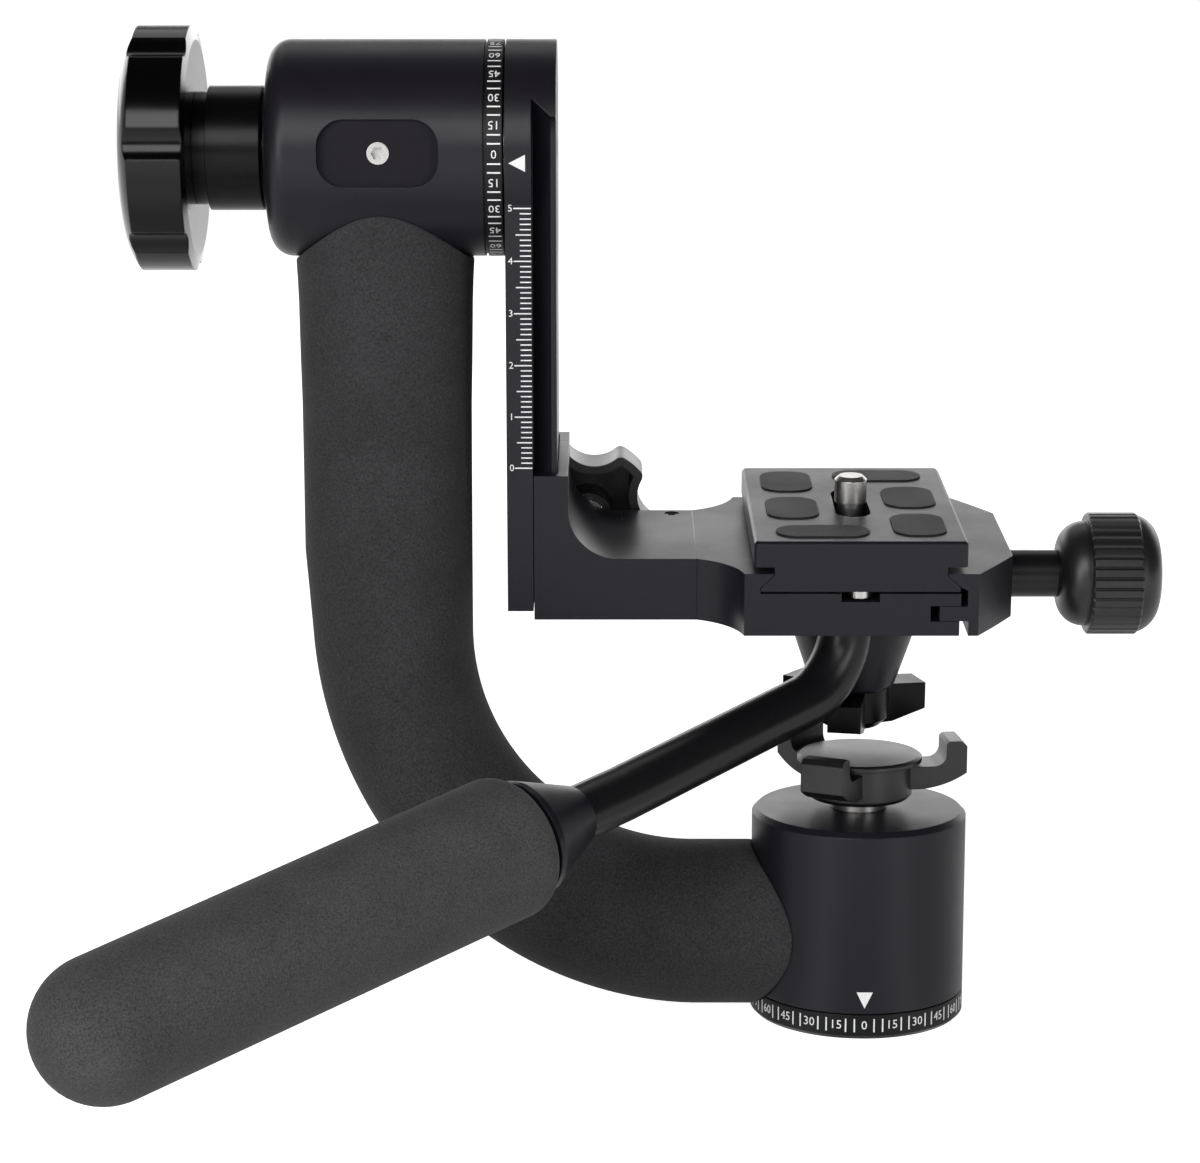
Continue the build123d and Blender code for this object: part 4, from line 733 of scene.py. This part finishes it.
ring_middle = (TILT_RING[0] + TILT_GROOVE + TILT_RING[1]) / 2
tilt_marks = degree_scale(TILT_R, 2.5 * MM, 2.3 * MM, -pi / 2)
piece("tilt_scale_marks", wrap(tilt_marks, TILT_R, round_tilt_axis(ring_middle, 0, 1)), paint, "yoke")

pan_index = pointer(3.2 * MM, -3.3 * MM)
piece("pan_index", wrap(pan_index, HOUSING_R, round_pan_axis(PAN_INDEX_TOP)), paint, "yoke")

tilt_index = pointer(3.2 * MM, 3.1 * MM)
piece("tilt_index", wrap(tilt_index, TILT_R, round_tilt_axis(TILT_INDEX_X, LEAN, -1)), paint, "swing")

# a ruler of five centimetres up the swing arm's front strip, its strokes from the strip's right edge
ruler = bmesh.new()
for millimetre in range(51):
    length = 3.3 if millimetre % 10 == 0 else 2.9 if millimetre % 5 == 0 else 2.1
    middle = RAIL_STRIP - (length / 2 + 0.1) * MM
    stroke(ruler, middle, millimetre * MM, length * MM, RULER_STROKE)
for number in range(6):
    figures(ruler, str(number), 1.9 * MM, 1.0 * MM, number * 10 * MM)
for vert in ruler.verts:
    out = RAIL_FRONT - vert.co.z + PAINT_SUNK
    vert.co = CRADLE @ Vector((SWING_X + vert.co.x, out, RULER_ZERO + vert.co.y))
piece("rail_ruler", ruler, paint, "swing")

# ---------------------------------------------------------------- floor, light and camera
FLOOR_HALF = 60.0
FLOOR_UNDER = -0.05 * MM
# how bright the camera sees the floor, from a distance round the object to another
SEEN_NEAR = 0.3
SEEN_FAR = 1.0
FLOOR_SEEN = (0.9, 1.0)
# how bright the metal mirrors it: near the object it is painted dim, with two painted pools of light, left
# and right of the front
NEAR = 0.15
FAR = 0.5
POOL_NEAR = (0.4, 1.0)
POOL_ANGLE = 0.65
POOL_SPREAD = 0.35
FLOOR_FAR = 0.95
# where the mirrored wall fades, by how high and by how far back a ray goes
WALL_TOP = (0.28, 0.55)
WALL_SIDE = (0.75, 0.45)
DARK_ROOM = 0.05
AMBIENT = 0.04

# name, place, the point it faces, width, height, brightness
SOFTBOXES = (
    ("front softbox", (-0.3, -1.15, 0.68), (-0.07, 0, 0.17), 0.7, 0.6, 6.0),
    ("left strip", (-0.72, -0.96, 0.3), (0, 0, 0.1), 0.3, 0.56, 7.0),
    ("right strip", (0.72, -0.96, 0.3), (0, 0, 0.1), 0.3, 0.56, 7.0),
    ("rear softbox", (-0.05, 1.7, 0.48), (-0.05, 0, 0.1), 3.4, 0.55, 1.7),
    ("high rear softbox", (-0.05, 0.9, 1.15), (-0.05, 0, 0.15), 1.4, 0.6, 1.0),
)

CAMERA_PLACE = (-0.05165, -0.62492, 0.2065)
CAMERA_DOWN = 10.802
CAMERA_LENS = 96.85


def seen_rays(tree):
    """What the camera sees straight or through glass, and what it sees mirrored in metal."""
    path = tree.nodes.new("ShaderNodeLightPath")
    clear = calc(tree, "MAXIMUM", path.outputs["Is Camera Ray"], path.outputs["Is Transmission Ray"])
    return clear, path.outputs["Is Glossy Ray"]


def pale_floor():
    """A wide floor, which the camera sees as plain white, too bright for a shadow to show on it."""
    shape = bmesh.new()
    bmesh.ops.create_grid(shape, x_segments=1, y_segments=1, size=FLOOR_HALF)
    mesh = bpy.data.meshes.new("floor")
    shape.to_mesh(mesh)
    shape.free()
    floor = bpy.data.objects.new("floor", mesh)
    floor.location.z = FLOOR_UNDER
    bpy.context.scene.collection.objects.link(floor)
    finish = bpy.data.materials.new("pale floor")
    finish.use_nodes = True
    tree = finish.node_tree
    shader = tree.nodes["Principled BSDF"]
    shader.inputs["Base Color"].default_value = (0.85, 0.85, 0.85, 1)
    shader.inputs["Roughness"].default_value = 0.9
    shader.inputs["Specular IOR Level"].default_value = 0.0
    shader.inputs["Emission Color"].default_value = (1, 1, 1, 1)
    clear, glossy = seen_rays(tree)
    place = tree.nodes.new("ShaderNodeTexCoord").outputs["Object"]
    away = tree.nodes.new("ShaderNodeVectorMath")
    away.operation = "LENGTH"
    wire(tree, place, away.inputs[0])
    spot = tree.nodes.new("ShaderNodeSeparateXYZ")
    wire(tree, place, spot.inputs["Vector"])
    aside = calc(tree, "ABSOLUTE", spot.outputs["X"])
    ahead = calc(tree, "MULTIPLY", spot.outputs["Y"], -1.0)
    # painted pools of light and a painted dimming near the object, which only mirrored rays see
    turned = calc(tree, "SUBTRACT", calc(tree, "ARCTAN2", aside, ahead), POOL_ANGLE)
    painted_pool = remap(tree, calc(tree, "ABSOLUTE", turned), POOL_SPREAD, 0.0, *POOL_NEAR)
    far = remap(tree, away.outputs["Value"], NEAR, FAR, 0.0, 1.0)
    gain = calc(tree, "MULTIPLY", calc(tree, "SUBTRACT", FLOOR_FAR, painted_pool), far)
    mirrored = calc(tree, "ADD", painted_pool, gain)
    dim = calc(tree, "MULTIPLY", glossy, mirrored)
    seen = remap(tree, away.outputs["Value"], SEEN_NEAR, SEEN_FAR, *FLOOR_SEEN)
    bright = calc(tree, "MULTIPLY", clear, seen)
    wire(tree, calc(tree, "MAXIMUM", dim, bright), shader.inputs["Emission Strength"])
    mesh.materials.append(finish)


def studio():
    """A pale wall behind the object in a dim room; the camera sees plain white."""
    world = bpy.data.worlds.new("studio")
    bpy.context.scene.world = world
    world.use_nodes = True
    tree = world.node_tree
    way = tree.nodes.new("ShaderNodeSeparateXYZ")
    wire(tree, tree.nodes.new("ShaderNodeTexCoord").outputs["Generated"], way.inputs["Vector"])
    high = remap(tree, way.outputs["Z"], *WALL_TOP, 1.0, DARK_ROOM)
    back = remap(tree, way.outputs["Y"], *WALL_SIDE, 1.0, DARK_ROOM)
    walls = calc(tree, "MINIMUM", high, back)
    clear, glossy = seen_rays(tree)
    strength = calc(tree, "MAXIMUM", clear, calc(tree, "MULTIPLY", glossy, walls))
    plain = calc(tree, "MULTIPLY", calc(tree, "SUBTRACT", 1.0, glossy), AMBIENT)
    wire(tree, calc(tree, "MAXIMUM", strength, plain), tree.nodes["Background"].inputs["Strength"])
    tree.nodes["Background"].inputs["Color"].default_value = (1, 1, 1, 1)


def softbox(name, place, target, width, height, brightness):
    """A rectangular lamp; its power follows its size, so that its face is equally bright at any size."""
    lamp = bpy.data.lights.new(name, "AREA")
    lamp.shape = "RECTANGLE"
    lamp.size = width
    lamp.size_y = height
    lamp.energy = brightness * pi * width * height
    holder = bpy.data.objects.new(name, lamp)
    holder.location = place
    holder.rotation_euler = (Vector(target) - Vector(place)).to_track_quat("-Z", "Y").to_euler()
    bpy.context.scene.collection.objects.link(holder)


pale_floor()
studio()
for values in SOFTBOXES:
    softbox(*values)

camera_data = bpy.data.cameras.new("camera")
camera_data.lens = CAMERA_LENS
camera_data.sensor_width = 36.0
camera_data.clip_start = 0.01
camera_data.clip_end = 200.0
camera = bpy.data.objects.new("camera", camera_data)
camera.location = CAMERA_PLACE
camera.rotation_euler = (radians(90 - CAMERA_DOWN), 0, 0)
bpy.context.scene.collection.objects.link(camera)
bpy.context.scene.camera = camera

bpy.context.scene.view_settings.view_transform = "Standard"
